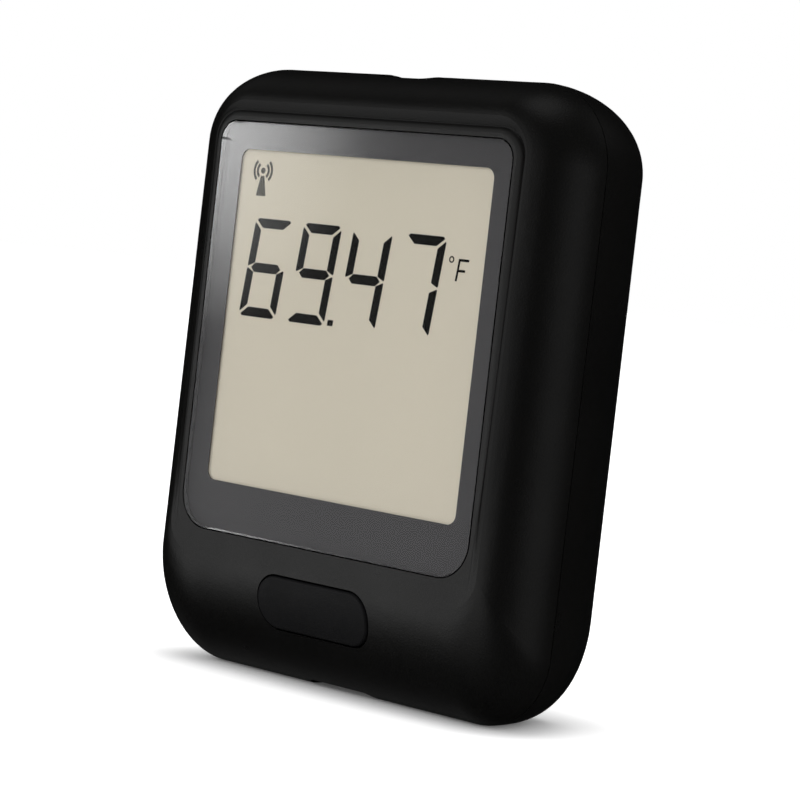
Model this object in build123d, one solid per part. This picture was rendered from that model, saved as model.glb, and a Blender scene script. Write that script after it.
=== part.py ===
"""Handheld wireless temperature data logger with a wide display and one push button.

The housing is a pillow-shaped front cover and a rounded rear cover, closed by
two screws at the foot and two hooks at the top. Behind the flush window sit the
display stack and its frame, the circuit board, the push switch, the radio
module, the charging socket, the temperature sensor and a rechargeable battery.

Millimetres. X runs to the viewer's right, Y from the face to the back and Z up.
The origin is the middle of the footprint, on the surface that the logger stands on.
"""

from build123d import *

import os
from math import cos, radians, sin, tan

# Housing
WIDTH = 68.0
HEIGHT = 82.2
DEPTH = 23.0
WALL = 2.0
SEAM_DEPTH = 9.1
SEAM_GAP = 0.15
CORNER_TOP = 11.2
CORNER_BOTTOM = 10.5
SMALLEST_RADIUS = 0.4

# Front cover's rounded shoulders, each as far as it reaches in from the outline
SHOULDER_SIDE = 5.9
SHOULDER_TOP = 5.1
SHOULDER_CHIN = 15.0
SHOULDER_CURVE = 1.68
FACE_LEAN = 0.485
SECTION_STEPS = 6

# Rear cover's taper towards the back
TAPER_SIDE = 7.7
TAPER_TOP = 7.75
BACK_CORNER_TOP = 3.0
BACK_CORNER_BOTTOM = 19.7
HEEL_RADIUS = 1.5
FOOT_TRIM = 0.02

# Flat rim round the window, raised above the leaning face
RIM_SIDE = 1.6
RIM_TOP = 1.7
RIM_ROUND = 1.0
RIM_THICK = 1.2
RIM_SETBACK = 0.02
RIM_FOOT = 0.6

# Window
LENS_SIDE = 7.8
LENS_TOP_EDGE = 8.1
LENS_BOTTOM = 18.8
LENS_THICK = 1.5
LENS_CORNER_TOP = 2.6
LENS_CORNER_BOTTOM = 4.8
LENS_GAP = 0.2
BORDER_GLUE = 0.02
BORDER_THICK = 0.15
BORDER_SIDE = 3.4
BORDER_TOP = 3.6
BORDER_FOOT = 6.6
WINDOW_CORNER = 1.4
ADHESIVE_THICK = 0.2
ADHESIVE_INSET = 0.3
LEDGE_THICK = 1.2
LEDGE_WALL = 1.2

# Display stack
CELL_SIDE = 2.1
CELL_TOP_EDGE = 2.0
CELL_FOOT = 3.3
CELL_GAP = 0.5
GLASS_THICK = 1.05
CONTACT_LEDGE = 2.8
FILM_EDGE = 0.5
POLARISER_THICK = 0.2
POLARISER_GAP = 0.15
REFLECTOR_THICK = 0.25
CELL_CORNER = 0.6

# Display frame
FRAME_WALL = 1.2
FRAME_FIT = 0.15
FRAME_FLOOR = 1.0
FRAME_CORNER = 1.2
FRAME_VENT_INSET = 8.0
STRIP_THICK = 1.8
STRIP_SIDE_GAP = 2.0
STRIP_FIT = 0.1

# Circuit board
BOARD_THICK = 1.6
BOARD_SIDE = 3.8
BOARD_BOTTOM = 4.2
BOARD_TOP_EDGE = 5.4
BOARD_CORNER = 8.5
BOARD_SCREW_SIDE = 6.0
BOARD_SCREW_LOW = 27.0
BOARD_SCREW_DROP = 15.0
BOARD_POST_RADIUS = 2.0
BOARD_RIB_THICK = 1.0
POST_HOLE_FIT = 0.05
BOARD_SCREW_RADIUS = 0.8
BOARD_SCREW_LENGTH = 6.0
BOARD_HEAD_RADIUS = 1.6
BOARD_HEAD_THICK = 1.1
SCREW_HOLE_FIT = 0.2

# Push button and its switch
BUTTON_WIDTH = 20.1
BUTTON_HEIGHT = 7.1
BUTTON_CENTRE = 10.9
BUTTON_END_RADIUS = 3.3
BUTTON_GAP = 0.22
BUTTON_TRAVEL = 0.3
BUTTON_PROUD = 0.3
BUTTON_EDGE = 0.35
GUIDE_WALL = 1.1
GUIDE_DEPTH = 4.9
FLANGE_REACH = 0.9
FLANGE_THICK = 0.9
FLANGE_GAP = 0.05
STEM_RADIUS = 1.5
SWITCH_SIDE = 6.0
SWITCH_BASE_THICK = 1.85
SWITCH_PLATE_THICK = 0.25
SWITCH_PLATE_LEG = 1.2
PLUNGER_RADIUS = 1.6
PLUNGER_FIT = 0.25
PLUNGER_STAND = 0.6
PLUNGER_FOOT_RADIUS = 2.0
PLUNGER_FOOT_THICK = 0.5
SWITCH_WELL_SPARE = 0.65

# Case screws, hooks and lip
CASE_SCREW_SIDE = 13.0
CASE_SCREW_Z = 13.0
CASE_SCREW_RADIUS = 1.25
CASE_SCREW_REACH = 6.0
CASE_HEAD_RADIUS = 2.2
CASE_HEAD_THICK = 1.6
CASE_HEAD_SEAT = 3.0
CASE_POST_RADIUS = 2.7
CASE_HOLE_FIT = 0.2
COUNTERBORE_FIT = 0.25
COUNTERBORE_WALL = 1.2
SEAT_THICK = 2.0
POST_JOINT_GAP = 0.05
DRIVE_WIDTH = 0.6
DRIVE_LENGTH = 2.4
DRIVE_DEPTH = 0.8
LIP_REACH = 1.2
LIP_OFFSET = 1.1
LIP_THICK = 0.8
REBATE_OFFSET = 1.0
REBATE_EXTRA = 0.2
LIP_BREAK = 1.2
LIP_BREAK_FIT = 0.3
HOOK_SIDE = 16.0
HOOK_WIDTH = 6.0
HOOK_THICK = 1.2
HOOK_DROP = 3.4
HOOK_REACH = 3.5
HOOK_ROOT = 2.0
NUB_HEIGHT = 0.9
NUB_LENGTH = 1.0
HOOK_FIT = 0.3

# Recesses in the top, the foot and the back
SOCKET_RECESS_WIDTH = 12.0
SOCKET_RECESS_AHEAD = 2.0
SOCKET_RECESS_DEPTH = 1.2
TOP_RECESS_WIDTH = 9.4
TOP_RECESS_AHEAD = 3.1
TOP_RECESS_DEPTH = 1.0
RECESS_BEHIND = 7.2
RECESS_CORNER = 1.6
BRACKET_WIDTH = 34.0
BRACKET_HEIGHT = 46.0
BRACKET_DEPTH = 0.6
BRACKET_CORNER = 4.0

# Charging socket
SOCKET_WIDTH = 7.6
SOCKET_THICK = 2.6
SOCKET_LENGTH = 5.6
SOCKET_SHEET = 0.3
SOCKET_CORNER = 0.7
SOCKET_FIT = 0.3
TONGUE_WIDTH = 3.8
TONGUE_THICK = 0.6
TONGUE_SETBACK = 0.9
SOCKET_BACK_THICK = 0.8

# Battery
BATTERY_WIDTH = 34.0
BATTERY_TOP_EDGE = 13.0
BATTERY_BOTTOM = 19.0
BATTERY_ROUND = 0.9
PARTS_ROOM = 3.6
BATTERY_SEAL = 3.0
BATTERY_SEAL_THICK = 1.0
BATTERY_PAD_THICK = 0.6
BATTERY_PAD_INSET = 3.0
TRAY_RIB_THICK = 1.0
TRAY_RIB_HEIGHT = 3.0
TRAY_RIB_LENGTH = 14.0
TRAY_FIT = 0.3

# Parts soldered to the back of the board
MODULE_WIDTH = 18.0
MODULE_HEIGHT = 25.5
MODULE_THICK = 0.8
MODULE_SIDE = 7.2
MODULE_TOP_EDGE = 1.6
SHIELD_WIDTH = 15.6
SHIELD_HEIGHT = 17.6
SHIELD_THICK = 2.2
SHIELD_SHEET = 0.25
SHIELD_EDGE = 1.0
ANTENNA_WIDTH = 9.0
ANTENNA_HEIGHT = 2.4
ANTENNA_THICK = 1.0
ANTENNA_EDGE = 1.6
CONTROLLER_SIDE = 10.0
CONTROLLER_THICK = 1.4
CONTROLLER_X = 8.0
CONTROLLER_DROP = 19.6
MEMORY_WIDTH = 5.0
MEMORY_HEIGHT = 6.0
MEMORY_THICK = 1.3
MEMORY_SIDE = 8.7
MEMORY_DROP = 29.6
CHARGER_SIDE = 4.0
CHARGER_THICK = 0.9
CHARGER_X = 8.0
CHARGER_Z = 9.5
CHIP_LEG = 0.9
CHIP_LEG_THICK = 0.2
CHIP_LEG_WIDTH = 0.35
CHIP_LEG_PITCH = 1.0
CRYSTAL_RADIUS = 1.0
CRYSTAL_LENGTH = 6.0
CRYSTAL_SIDE = 17.2
CRYSTAL_DROP = 32.6
INDUCTOR_SIDE = 4.0
INDUCTOR_THICK = 2.0
INDUCTOR_X = -8.5
INDUCTOR_Z = 9.5
PASSIVE_LENGTH = 1.6
PASSIVE_WIDTH = 0.8
PASSIVE_THICK = 0.6
PASSIVE_PITCH = 2.6
PASSIVE_LEFT = -6.5
PASSIVE_LOW = 12.2
PASSIVE_COUNT = 6
HEADER_WIDTH = 6.0
HEADER_HEIGHT = 4.6
HEADER_THICK = 3.0
HEADER_SIDE = 7.2
HEADER_Z = 30.0
HEADER_WALL = 0.6
SENSOR_RADIUS = 1.1
SENSOR_LEAD_RADIUS = 0.25
SENSOR_LEAD_SPREAD = 0.6
SENSOR_DROP = 3.9
SENSOR_SIDE = 5.0
SENSOR_LEAD_LENGTH = 5.6

FRONT = -DEPTH / 2
BACK = DEPTH / 2
SEAM = FRONT + SEAM_DEPTH
REAR_START = SEAM + SEAM_GAP
INNER_BACK = BACK - WALL
FACE = FRONT + RIM_SETBACK
LENS_WIDTH = WIDTH - 2 * LENS_SIDE
LENS_TOP = HEIGHT - LENS_TOP_EDGE
LENS_BACK = FACE + LENS_THICK
BORDER_FRONT = LENS_BACK + BORDER_GLUE
BORDER_BACK = BORDER_FRONT + BORDER_THICK
LEDGE_FRONT = BORDER_BACK + ADHESIVE_THICK
LEDGE_BACK = LEDGE_FRONT + LEDGE_THICK
CELL_WIDTH = LENS_WIDTH - 2 * CELL_SIDE
CELL_BOTTOM = LENS_BOTTOM + CELL_FOOT
CELL_TOP = LENS_TOP - CELL_TOP_EDGE
POLARISER_FRONT = BORDER_BACK + POLARISER_GAP
CELL_FRONT = POLARISER_FRONT + POLARISER_THICK
CELL_BACK = CELL_FRONT + 2 * GLASS_THICK
REFLECTOR_BACK = CELL_BACK + REFLECTOR_THICK
BOARD_FRONT = SEAM
BOARD_BACK = BOARD_FRONT + BOARD_THICK
BOARD_HALF = WIDTH / 2 - BOARD_SIDE
BOARD_TOP = HEIGHT - BOARD_TOP_EDGE
BOARD_SCREW_X = WIDTH / 2 - BOARD_SCREW_SIDE
CASE_SCREW_X = WIDTH / 2 - CASE_SCREW_SIDE
HOOK_X = WIDTH / 2 - HOOK_SIDE
GUIDE_BACK = FRONT + GUIDE_DEPTH
FLANGE_FRONT = GUIDE_BACK + FLANGE_GAP
FLANGE_BACK = FLANGE_FRONT + FLANGE_THICK
SWITCH_PLATE_BACK = BOARD_FRONT - SWITCH_BASE_THICK
SWITCH_FRONT = SWITCH_PLATE_BACK - SWITCH_PLATE_THICK
PLUNGER_FRONT = SWITCH_FRONT - PLUNGER_STAND
SOCKET_MID = BOARD_BACK + SOCKET_THICK / 2
SOCKET_MOUTH = SOCKET_RECESS_DEPTH
BATTERY_BACK = INNER_BACK - BATTERY_PAD_THICK
BATTERY_FRONT = BOARD_BACK + PARTS_ROOM
BATTERY_TOP = HEIGHT - BATTERY_TOP_EDGE
MODULE_X = MODULE_SIDE + MODULE_WIDTH / 2 - BOARD_HALF
MODULE_TOP = BOARD_TOP - MODULE_TOP_EDGE
MODULE_BOTTOM = MODULE_TOP - MODULE_HEIGHT
SENSOR_X = MODULE_X + MODULE_WIDTH / 2 + SENSOR_SIDE
SENSOR_Z = HEIGHT - SENSOR_DROP
CUT = 1.0


def view_plane(y, lean=0.0):
    """Plane across the housing at depth y, drawn as seen from the face.

    Its x is X and its y is height above the chin line. A lean in degrees tips its
    top towards the back about that line.
    """
    tip = radians(lean)
    return Plane(origin=(0, y, SHOULDER_CHIN), x_dir=(1, 0, 0), z_dir=(0, -cos(tip), sin(tip)))


def rounded(half, low, high, top_radius, bottom_radius):
    """Rectangle centred on X between two heights, with its own corner radius at each end."""
    corners = [(half, low), (half, high), (-half, high), (-half, low)]
    top_radius = max(top_radius, SMALLEST_RADIUS)
    bottom_radius = max(bottom_radius, SMALLEST_RADIUS)
    radii = [bottom_radius, top_radius, top_radius, bottom_radius]
    return make_face(FilletPolyline(*corners, radius=radii, close=True))


def slab(sketch, near, far):
    """Front-view sketch given its depth, from y = near to y = far."""
    plane = Plane(origin=(0, far, 0), x_dir=(1, 0, 0), z_dir=(0, -1, 0))
    return extrude(plane * sketch, amount=far - near)


def post(x, z, radius, near, far):
    """Round post or hole along Y at (x, z)."""
    return slab(Pos(x, z) * Circle(radius), near, far)


def block(x0, x1, y0, y1, z0, z1):
    """Box between the given limits."""
    return Pos((x0 + x1) / 2, (y0 + y1) / 2, (z0 + z1) / 2) * Box(x1 - x0, y1 - y0, z1 - z0)


def housing_outline(inset):
    """Outline of the housing at the seam, drawn in by inset."""
    return rounded(WIDTH / 2 - inset, inset, HEIGHT - inset, CORNER_TOP - inset, CORNER_BOTTOM - inset)


def front_form(wall=0.0):
    """Solid pillow of the front cover, drawn in by wall on the face and round the sides.

    Each section is the outline drawn in along a quarter of a superellipse, full at
    the seam and smallest at the face. The sections lean back more towards the face.
    """
    sections = []
    for step in range(SECTION_STEPS + 1):
        turn = radians(90.0 * step / SECTION_STEPS)
        forward = cos(turn) ** (2 / SHOULDER_CURVE)
        drawn = 1 - sin(turn) ** (2 / SHOULDER_CURVE)
        y = SEAM - (SEAM_DEPTH - wall) * forward
        side = SHOULDER_SIDE * drawn
        outline = rounded(
            WIDTH / 2 - wall - side,
            wall + SHOULDER_CHIN * drawn - SHOULDER_CHIN,
            HEIGHT - wall - SHOULDER_TOP * drawn - SHOULDER_CHIN,
            CORNER_TOP - wall - side,
            CORNER_BOTTOM - wall - side,
        )
        sections.append(view_plane(y, FACE_LEAN * forward) * outline)
    return loft(sections)


def rear_form(wall=0.0):
    """Solid of the rear cover, drawn in by wall.

    The sides and top curve in along a quarter ellipse. The foot stays flat and is
    a hair too low, so that a plane can trim it.
    """
    sections = []
    for step in range(SECTION_STEPS + 1):
        turn = radians(90.0 * step / SECTION_STEPS)
        drawn = 1 - cos(turn)
        y = REAR_START + (BACK - wall - REAR_START) * sin(turn)
        outline = rounded(
            WIDTH / 2 - wall - TAPER_SIDE * drawn,
            wall - FOOT_TRIM - SHOULDER_CHIN,
            HEIGHT - wall - TAPER_TOP * drawn - SHOULDER_CHIN,
            CORNER_TOP + (BACK_CORNER_TOP - CORNER_TOP) * drawn - wall,
            CORNER_BOTTOM + (BACK_CORNER_BOTTOM - CORNER_BOTTOM) * drawn - wall,
        )
        sections.append(view_plane(y) * outline)
    return loft(sections)


def face_rim():
    """Raised flat pad that frames the window, its edge rounded over.

    The face leans back from the chin, so the pad's step is full at the top and
    runs out above the chin.
    """
    half = LENS_WIDTH / 2 + RIM_SIDE
    low = SHOULDER_CHIN + RIM_FOOT
    high = LENS_TOP + RIM_TOP
    outline = rounded(half, low, high, LENS_CORNER_TOP + RIM_SIDE, RIM_ROUND)
    pad = slab(outline, FACE, FACE + RIM_THICK)
    front_edges = pad.faces().sort_by(Axis.Y)[0].edges()
    return fillet(front_edges, RIM_ROUND)


def lens_outline(grow=0.0):
    """Outline of the window pane, larger all round by grow."""
    return rounded(
        LENS_WIDTH / 2 + grow,
        LENS_BOTTOM - grow,
        LENS_TOP + grow,
        LENS_CORNER_TOP + grow,
        LENS_CORNER_BOTTOM + grow,
    )


def cell_outline(grow=0.0):
    """Outline of the display glass, larger all round by grow."""
    corner = CELL_CORNER + grow
    return rounded(CELL_WIDTH / 2 + grow, CELL_BOTTOM - grow, CELL_TOP + grow, corner, corner)


def button_outline(grow=0.0):
    """Outline of the push button, larger all round by grow."""
    low = BUTTON_CENTRE - BUTTON_HEIGHT / 2 - grow
    radius = BUTTON_END_RADIUS + grow
    return rounded(BUTTON_WIDTH / 2 + grow, low, low + BUTTON_HEIGHT + 2 * grow, radius, radius)


def recess(width, ahead, depth, at_top):
    """Shallow pocket in the middle of the top or the foot, from ahead of the seam to behind it."""
    mid = SEAM + (RECESS_BEHIND - ahead) / 2
    sketch = Pos(0, mid) * RectangleRounded(width, ahead + RECESS_BEHIND, RECESS_CORNER)
    floor = HEIGHT - depth if at_top else -CUT
    return Pos(0, 0, floor) * extrude(sketch, amount=depth + CUT)


def lip_breaks(fit=0.0):
    """Places beside the two recesses where the covers meet without a lip, narrower by fit."""
    foot = SOCKET_RECESS_WIDTH / 2 + LIP_BREAK - fit
    top = TOP_RECESS_WIDTH / 2 + LIP_BREAK - fit
    front = SEAM - 2 * LIP_REACH
    return block(-foot, foot, front, REAR_START, -CUT, WALL + CUT) + block(
        -top, top, front, REAR_START, HEIGHT - WALL - CUT, HEIGHT + CUT)


def both_sides(x, make):
    """The piece that make gives at -x and at x, in a list."""
    return [make(side * x) for side in (-1, 1)]


def board_screw_places():
    """Centres of the four board screws, as (x, z)."""
    heights = (BOARD_SCREW_LOW, HEIGHT - BOARD_SCREW_DROP)
    return [(x, z) for x in (-BOARD_SCREW_X, BOARD_SCREW_X) for z in heights]


def board_post(x, z):
    """Post that carries the board, tied to the side wall by a rib."""
    wall = WIDTH / 2 if x > 0 else -WIDTH / 2
    low = z - BOARD_RIB_THICK / 2
    rib = block(min(x, wall), max(x, wall), LEDGE_BACK, SEAM, low, low + BOARD_RIB_THICK)
    return post(x, z, BOARD_POST_RADIUS, FRONT, BOARD_FRONT) + rib


def screw_pair(radius, near, far):
    """Round posts or holes on the axes of the two case screws."""
    left, right = both_sides(CASE_SCREW_X, lambda x: post(x, CASE_SCREW_Z, radius, near, far))
    return left + right


def hook_slot(x):
    """Slot in the front cover's top wall that the hook's nub catches in."""
    near = SEAM - HOOK_REACH - HOOK_FIT
    far = near + NUB_LENGTH + 2 * HOOK_FIT
    low = HEIGHT - HOOK_DROP - HOOK_THICK
    top = HEIGHT - HOOK_DROP + NUB_HEIGHT + HOOK_FIT
    half = HOOK_WIDTH / 2 + HOOK_FIT
    return block(x - half, x + half, near, far, low, top)


def front_cover():
    """Pillow-shaped shell with the window ledge, board posts, button guide and screw posts."""
    rebate_front = SEAM - LIP_REACH - REBATE_EXTRA
    shell = front_form() + face_rim() - front_form(WALL)
    ledge_grow = LENS_GAP + LEDGE_WALL
    inside = slab(lens_outline(ledge_grow), LEDGE_FRONT - LEDGE_WALL, LEDGE_BACK)
    inside += slab(button_outline(BUTTON_GAP + GUIDE_WALL), FRONT, GUIDE_BACK)
    for x, z in board_screw_places():
        inside += board_post(x, z)
    inside += screw_pair(CASE_POST_RADIUS, FRONT, SEAM)
    shell += inside & front_form(WALL / 2)
    lip_room = housing_outline(REBATE_OFFSET) - housing_outline(WALL + REBATE_EXTRA)
    shell -= slab(lip_room, rebate_front, SEAM + CUT) - lip_breaks(LIP_BREAK_FIT)

    shell -= slab(lens_outline(LENS_GAP), FRONT - CUT, LEDGE_FRONT)
    shell -= slab(cell_outline(CELL_GAP), FRONT - CUT, LEDGE_BACK + CUT)
    shell -= slab(button_outline(BUTTON_GAP), FRONT - CUT, GUIDE_BACK + CUT)
    board_tip = BOARD_BACK - BOARD_SCREW_LENGTH - POST_HOLE_FIT
    for x, z in board_screw_places():
        shell -= post(x, z, BOARD_SCREW_RADIUS + POST_HOLE_FIT, board_tip, SEAM + CUT)
    case_tip = SEAM - CASE_SCREW_REACH - POST_HOLE_FIT
    shell -= screw_pair(CASE_SCREW_RADIUS + POST_HOLE_FIT, case_tip, SEAM + CUT)
    for slot in both_sides(HOOK_X, hook_slot):
        shell -= slot
    shell -= recess(SOCKET_RECESS_WIDTH, SOCKET_RECESS_AHEAD, SOCKET_RECESS_DEPTH, at_top=False)
    shell -= recess(TOP_RECESS_WIDTH, TOP_RECESS_AHEAD, TOP_RECESS_DEPTH, at_top=True)
    return shell


def foot_relief():
    """What is trimmed off below the flat foot and outside its rounded rear edge."""
    below = block(-WIDTH, WIDTH, FRONT, BACK, -CUT, 0)
    corner = block(-WIDTH, WIDTH, BACK - HEEL_RADIUS, BACK + CUT, -CUT, HEEL_RADIUS)
    roll = Pos(0, BACK - HEEL_RADIUS, HEEL_RADIUS) * Rot(0, 90, 0) * Cylinder(HEEL_RADIUS, 3 * WIDTH)
    return below + (corner - roll)


def screw_column(x):
    """Column in the rear cover that the case screw's head sits in."""
    wide = CASE_HEAD_RADIUS + COUNTERBORE_FIT + COUNTERBORE_WALL
    seat = CASE_HEAD_SEAT - SEAT_THICK
    foot = post(x, CASE_SCREW_Z, CASE_POST_RADIUS, SEAM + POST_JOINT_GAP, seat)
    return foot + post(x, CASE_SCREW_Z, wide, seat, BACK + CUT)


def screw_bore(x):
    """Clearance hole and counterbore of a case screw."""
    hole = post(x, CASE_SCREW_Z, CASE_SCREW_RADIUS + CASE_HOLE_FIT, SEAM - CUT, BACK + CUT)
    return hole + post(x, CASE_SCREW_Z, CASE_HEAD_RADIUS + COUNTERBORE_FIT, CASE_HEAD_SEAT, BACK + CUT)


def hook(x):
    """Tongue at the top of the rear cover, with a nub that catches in the front cover."""
    half = HOOK_WIDTH / 2
    top = HEIGHT - HOOK_DROP
    tip = SEAM - HOOK_REACH
    tongue = block(x - half, x + half, tip, REAR_START + HOOK_ROOT, top - HOOK_THICK, top)
    nub = block(x - half, x + half, tip, tip + NUB_LENGTH, top - HOOK_THICK, top + NUB_HEIGHT)
    root = block(x - half, x + half, REAR_START, REAR_START + HOOK_ROOT, top - HOOK_THICK, HEIGHT - WALL / 2)
    return tongue + nub + root


def tray_rib(x, z):
    """Low rib that keeps the battery in place on one side."""
    middle = x + (TRAY_FIT + TRAY_RIB_THICK / 2) * (1 if x > 0 else -1)
    across = TRAY_RIB_THICK / 2
    half = TRAY_RIB_LENGTH / 2
    front = INNER_BACK - TRAY_RIB_HEIGHT
    return block(middle - across, middle + across, front, BACK - WALL / 2, z - half, z + half)


def rear_cover():
    """Tapered shell with its lip, hooks, screw columns, battery ribs and bracket recess."""
    outer = rear_form() - foot_relief()
    shell = outer - rear_form(WALL)
    lip = housing_outline(LIP_OFFSET) - housing_outline(LIP_OFFSET + LIP_THICK)
    shell += slab(lip, SEAM - LIP_REACH, REAR_START) - lip_breaks()

    quarter = (BATTERY_TOP - BATTERY_BOTTOM) / 4
    for z in (BATTERY_BOTTOM + quarter, BATTERY_TOP - quarter):
        for rib in both_sides(BATTERY_WIDTH / 2, lambda x: tray_rib(x, z)):
            shell += rib
    for column in both_sides(CASE_SCREW_X, screw_column):
        shell += column & (outer + slab(housing_outline(WALL), SEAM, REAR_START))
    for tongue in both_sides(HOOK_X, hook):
        shell += tongue

    for bore in both_sides(CASE_SCREW_X, screw_bore):
        shell -= bore
    shell -= recess(SOCKET_RECESS_WIDTH, SOCKET_RECESS_AHEAD, SOCKET_RECESS_DEPTH, at_top=False)
    shell -= recess(TOP_RECESS_WIDTH, TOP_RECESS_AHEAD, TOP_RECESS_DEPTH, at_top=True)
    mouth = Pos(0, SOCKET_MID) * RectangleRounded(
        SOCKET_WIDTH + 2 * SOCKET_FIT, SOCKET_THICK + 2 * SOCKET_FIT, SOCKET_CORNER + SOCKET_FIT)
    shell -= extrude(mouth, amount=WALL + CUT)
    panel = Pos(0, HEIGHT / 2) * RectangleRounded(BRACKET_WIDTH, BRACKET_HEIGHT, BRACKET_CORNER)
    shell -= slab(panel, BACK - BRACKET_DEPTH, BACK + CUT)
    return shell


def display_lens():
    """Clear flat pane, flush with the rim."""
    return slab(lens_outline(), FACE, LENS_BACK)


def lens_border():
    """Thin printed film behind the pane that leaves the display window clear.

    A hair of clear glue holds it to the pane.
    """
    low = LENS_BOTTOM + BORDER_FOOT
    high = LENS_TOP - BORDER_TOP
    window = rounded(LENS_WIDTH / 2 - BORDER_SIDE, low, high, WINDOW_CORNER, WINDOW_CORNER)
    return slab(lens_outline() - window, BORDER_FRONT, BORDER_BACK)


def lens_adhesive():
    """Ring of adhesive tape between the film and the ledge."""
    ring = lens_outline(-ADHESIVE_INSET) - cell_outline(CELL_GAP + ADHESIVE_INSET)
    return slab(ring, BORDER_BACK, LEDGE_FRONT)


def film_outline():
    """Outline of the films on the display glass."""
    low = CELL_BOTTOM + CONTACT_LEDGE
    return rounded(CELL_WIDTH / 2 - FILM_EDGE, low, CELL_TOP - FILM_EDGE, CELL_CORNER, CELL_CORNER)


def display_polariser():
    """Polarising film on the front of the display glass."""
    return slab(film_outline(), POLARISER_FRONT, CELL_FRONT)


def display_glass():
    """Two bonded glass plates; the front one is longer and carries the contacts."""
    rear_low = CELL_BOTTOM + CONTACT_LEDGE
    rear = rounded(CELL_WIDTH / 2, rear_low, CELL_TOP, CELL_CORNER, CELL_CORNER)
    middle = CELL_FRONT + GLASS_THICK
    return slab(cell_outline(), CELL_FRONT, middle) + slab(rear, middle, CELL_BACK)


def display_reflector():
    """Reflecting film on the back of the display glass."""
    return slab(film_outline(), CELL_BACK, REFLECTOR_BACK)


def display_frame():
    """Moulded frame that holds the glass against the board, open behind its floor."""
    grow = FRAME_FIT + FRAME_WALL
    outer = rounded(CELL_WIDTH / 2 + grow, CELL_BOTTOM - grow, CELL_TOP + grow, FRAME_CORNER, FRAME_CORNER)
    frame = slab(outer, LEDGE_BACK + FRAME_FIT, BOARD_FRONT)
    frame -= slab(cell_outline(FRAME_FIT), FRONT, REFLECTOR_BACK)
    frame -= slab(cell_outline(FRAME_FIT), REFLECTOR_BACK + FRAME_FLOOR, BOARD_FRONT + CUT)
    vent = rounded(
        CELL_WIDTH / 2 - FRAME_VENT_INSET,
        CELL_BOTTOM + FRAME_VENT_INSET,
        CELL_TOP - FRAME_VENT_INSET,
        FRAME_CORNER,
        FRAME_CORNER,
    )
    frame -= slab(vent, REFLECTOR_BACK - CUT, BOARD_FRONT)
    half = CELL_WIDTH / 2 - STRIP_SIDE_GAP + FRAME_FIT
    low = CELL_BOTTOM + STRIP_FIT - FRAME_FIT
    slot = block(-half, half, CELL_FRONT, BOARD_FRONT, low, low + STRIP_THICK + 2 * FRAME_FIT)
    return frame - slot


def contact_strip():
    """Striped rubber strip that joins the glass contacts to the board."""
    half = CELL_WIDTH / 2 - STRIP_SIDE_GAP
    low = CELL_BOTTOM + STRIP_FIT
    return block(-half, half, CELL_FRONT + GLASS_THICK, BOARD_FRONT, low, low + STRIP_THICK)


def button_cap():
    """Push button whose face stands a little over the chin, with a retaining flange and a stem."""
    face = slab(button_outline(), FRONT - CUT, FLANGE_FRONT) & Pos(0, -BUTTON_PROUD, 0) * front_form()
    face = fillet(face.faces().sort_by(Axis.Y)[0].edges(), BUTTON_EDGE)
    flange = slab(button_outline(FLANGE_REACH), FLANGE_FRONT, FLANGE_BACK)
    return face + flange + post(0, BUTTON_CENTRE, STEM_RADIUS, FLANGE_BACK, PLUNGER_FRONT)


def switch_plunger():
    """Round plunger of the push switch, with the foot that keeps it in."""
    foot_front = SWITCH_PLATE_BACK
    shaft = post(0, BUTTON_CENTRE, PLUNGER_RADIUS, PLUNGER_FRONT, foot_front)
    return shaft + post(0, BUTTON_CENTRE, PLUNGER_FOOT_RADIUS, foot_front, foot_front + PLUNGER_FOOT_THICK)


def switch_base():
    """Square base of the push switch, with the well that the plunger moves in."""
    half = SWITCH_SIDE / 2
    base = block(-half, half, SWITCH_PLATE_BACK, BOARD_FRONT, BUTTON_CENTRE - half, BUTTON_CENTRE + half)
    floor = SWITCH_PLATE_BACK + PLUNGER_FOOT_THICK + BUTTON_TRAVEL + SWITCH_WELL_SPARE
    return base - post(0, BUTTON_CENTRE, PLUNGER_FOOT_RADIUS + PLUNGER_FIT, SWITCH_PLATE_BACK, floor)


def switch_plate():
    """Steel plate over the switch, its two ears bent down the sides."""
    half = SWITCH_SIDE / 2
    low, high = BUTTON_CENTRE - half, BUTTON_CENTRE + half
    plate = block(-half, half, SWITCH_FRONT, SWITCH_PLATE_BACK, low, high)
    for z0, z1 in ((low - SWITCH_PLATE_THICK, low), (high, high + SWITCH_PLATE_THICK)):
        plate += block(-SWITCH_PLATE_LEG, SWITCH_PLATE_LEG, SWITCH_FRONT, BOARD_FRONT, z0, z1)
    hole = PLUNGER_RADIUS + PLUNGER_FIT
    return plate - post(0, BUTTON_CENTRE, hole, SWITCH_FRONT - CUT, SWITCH_PLATE_BACK + CUT)


def circuit_board():
    """Board with its screw holes and the two holes that the case posts pass through."""
    outline = rounded(BOARD_HALF, BOARD_BOTTOM, BOARD_TOP, BOARD_CORNER, BOARD_CORNER)
    board = slab(outline, BOARD_FRONT, BOARD_BACK)
    for x, z in board_screw_places():
        board -= post(x, z, BOARD_SCREW_RADIUS + SCREW_HOLE_FIT, BOARD_FRONT - CUT, BOARD_BACK + CUT)
    return board - screw_pair(CASE_POST_RADIUS + SCREW_HOLE_FIT, BOARD_FRONT - CUT, BOARD_BACK + CUT)


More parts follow.
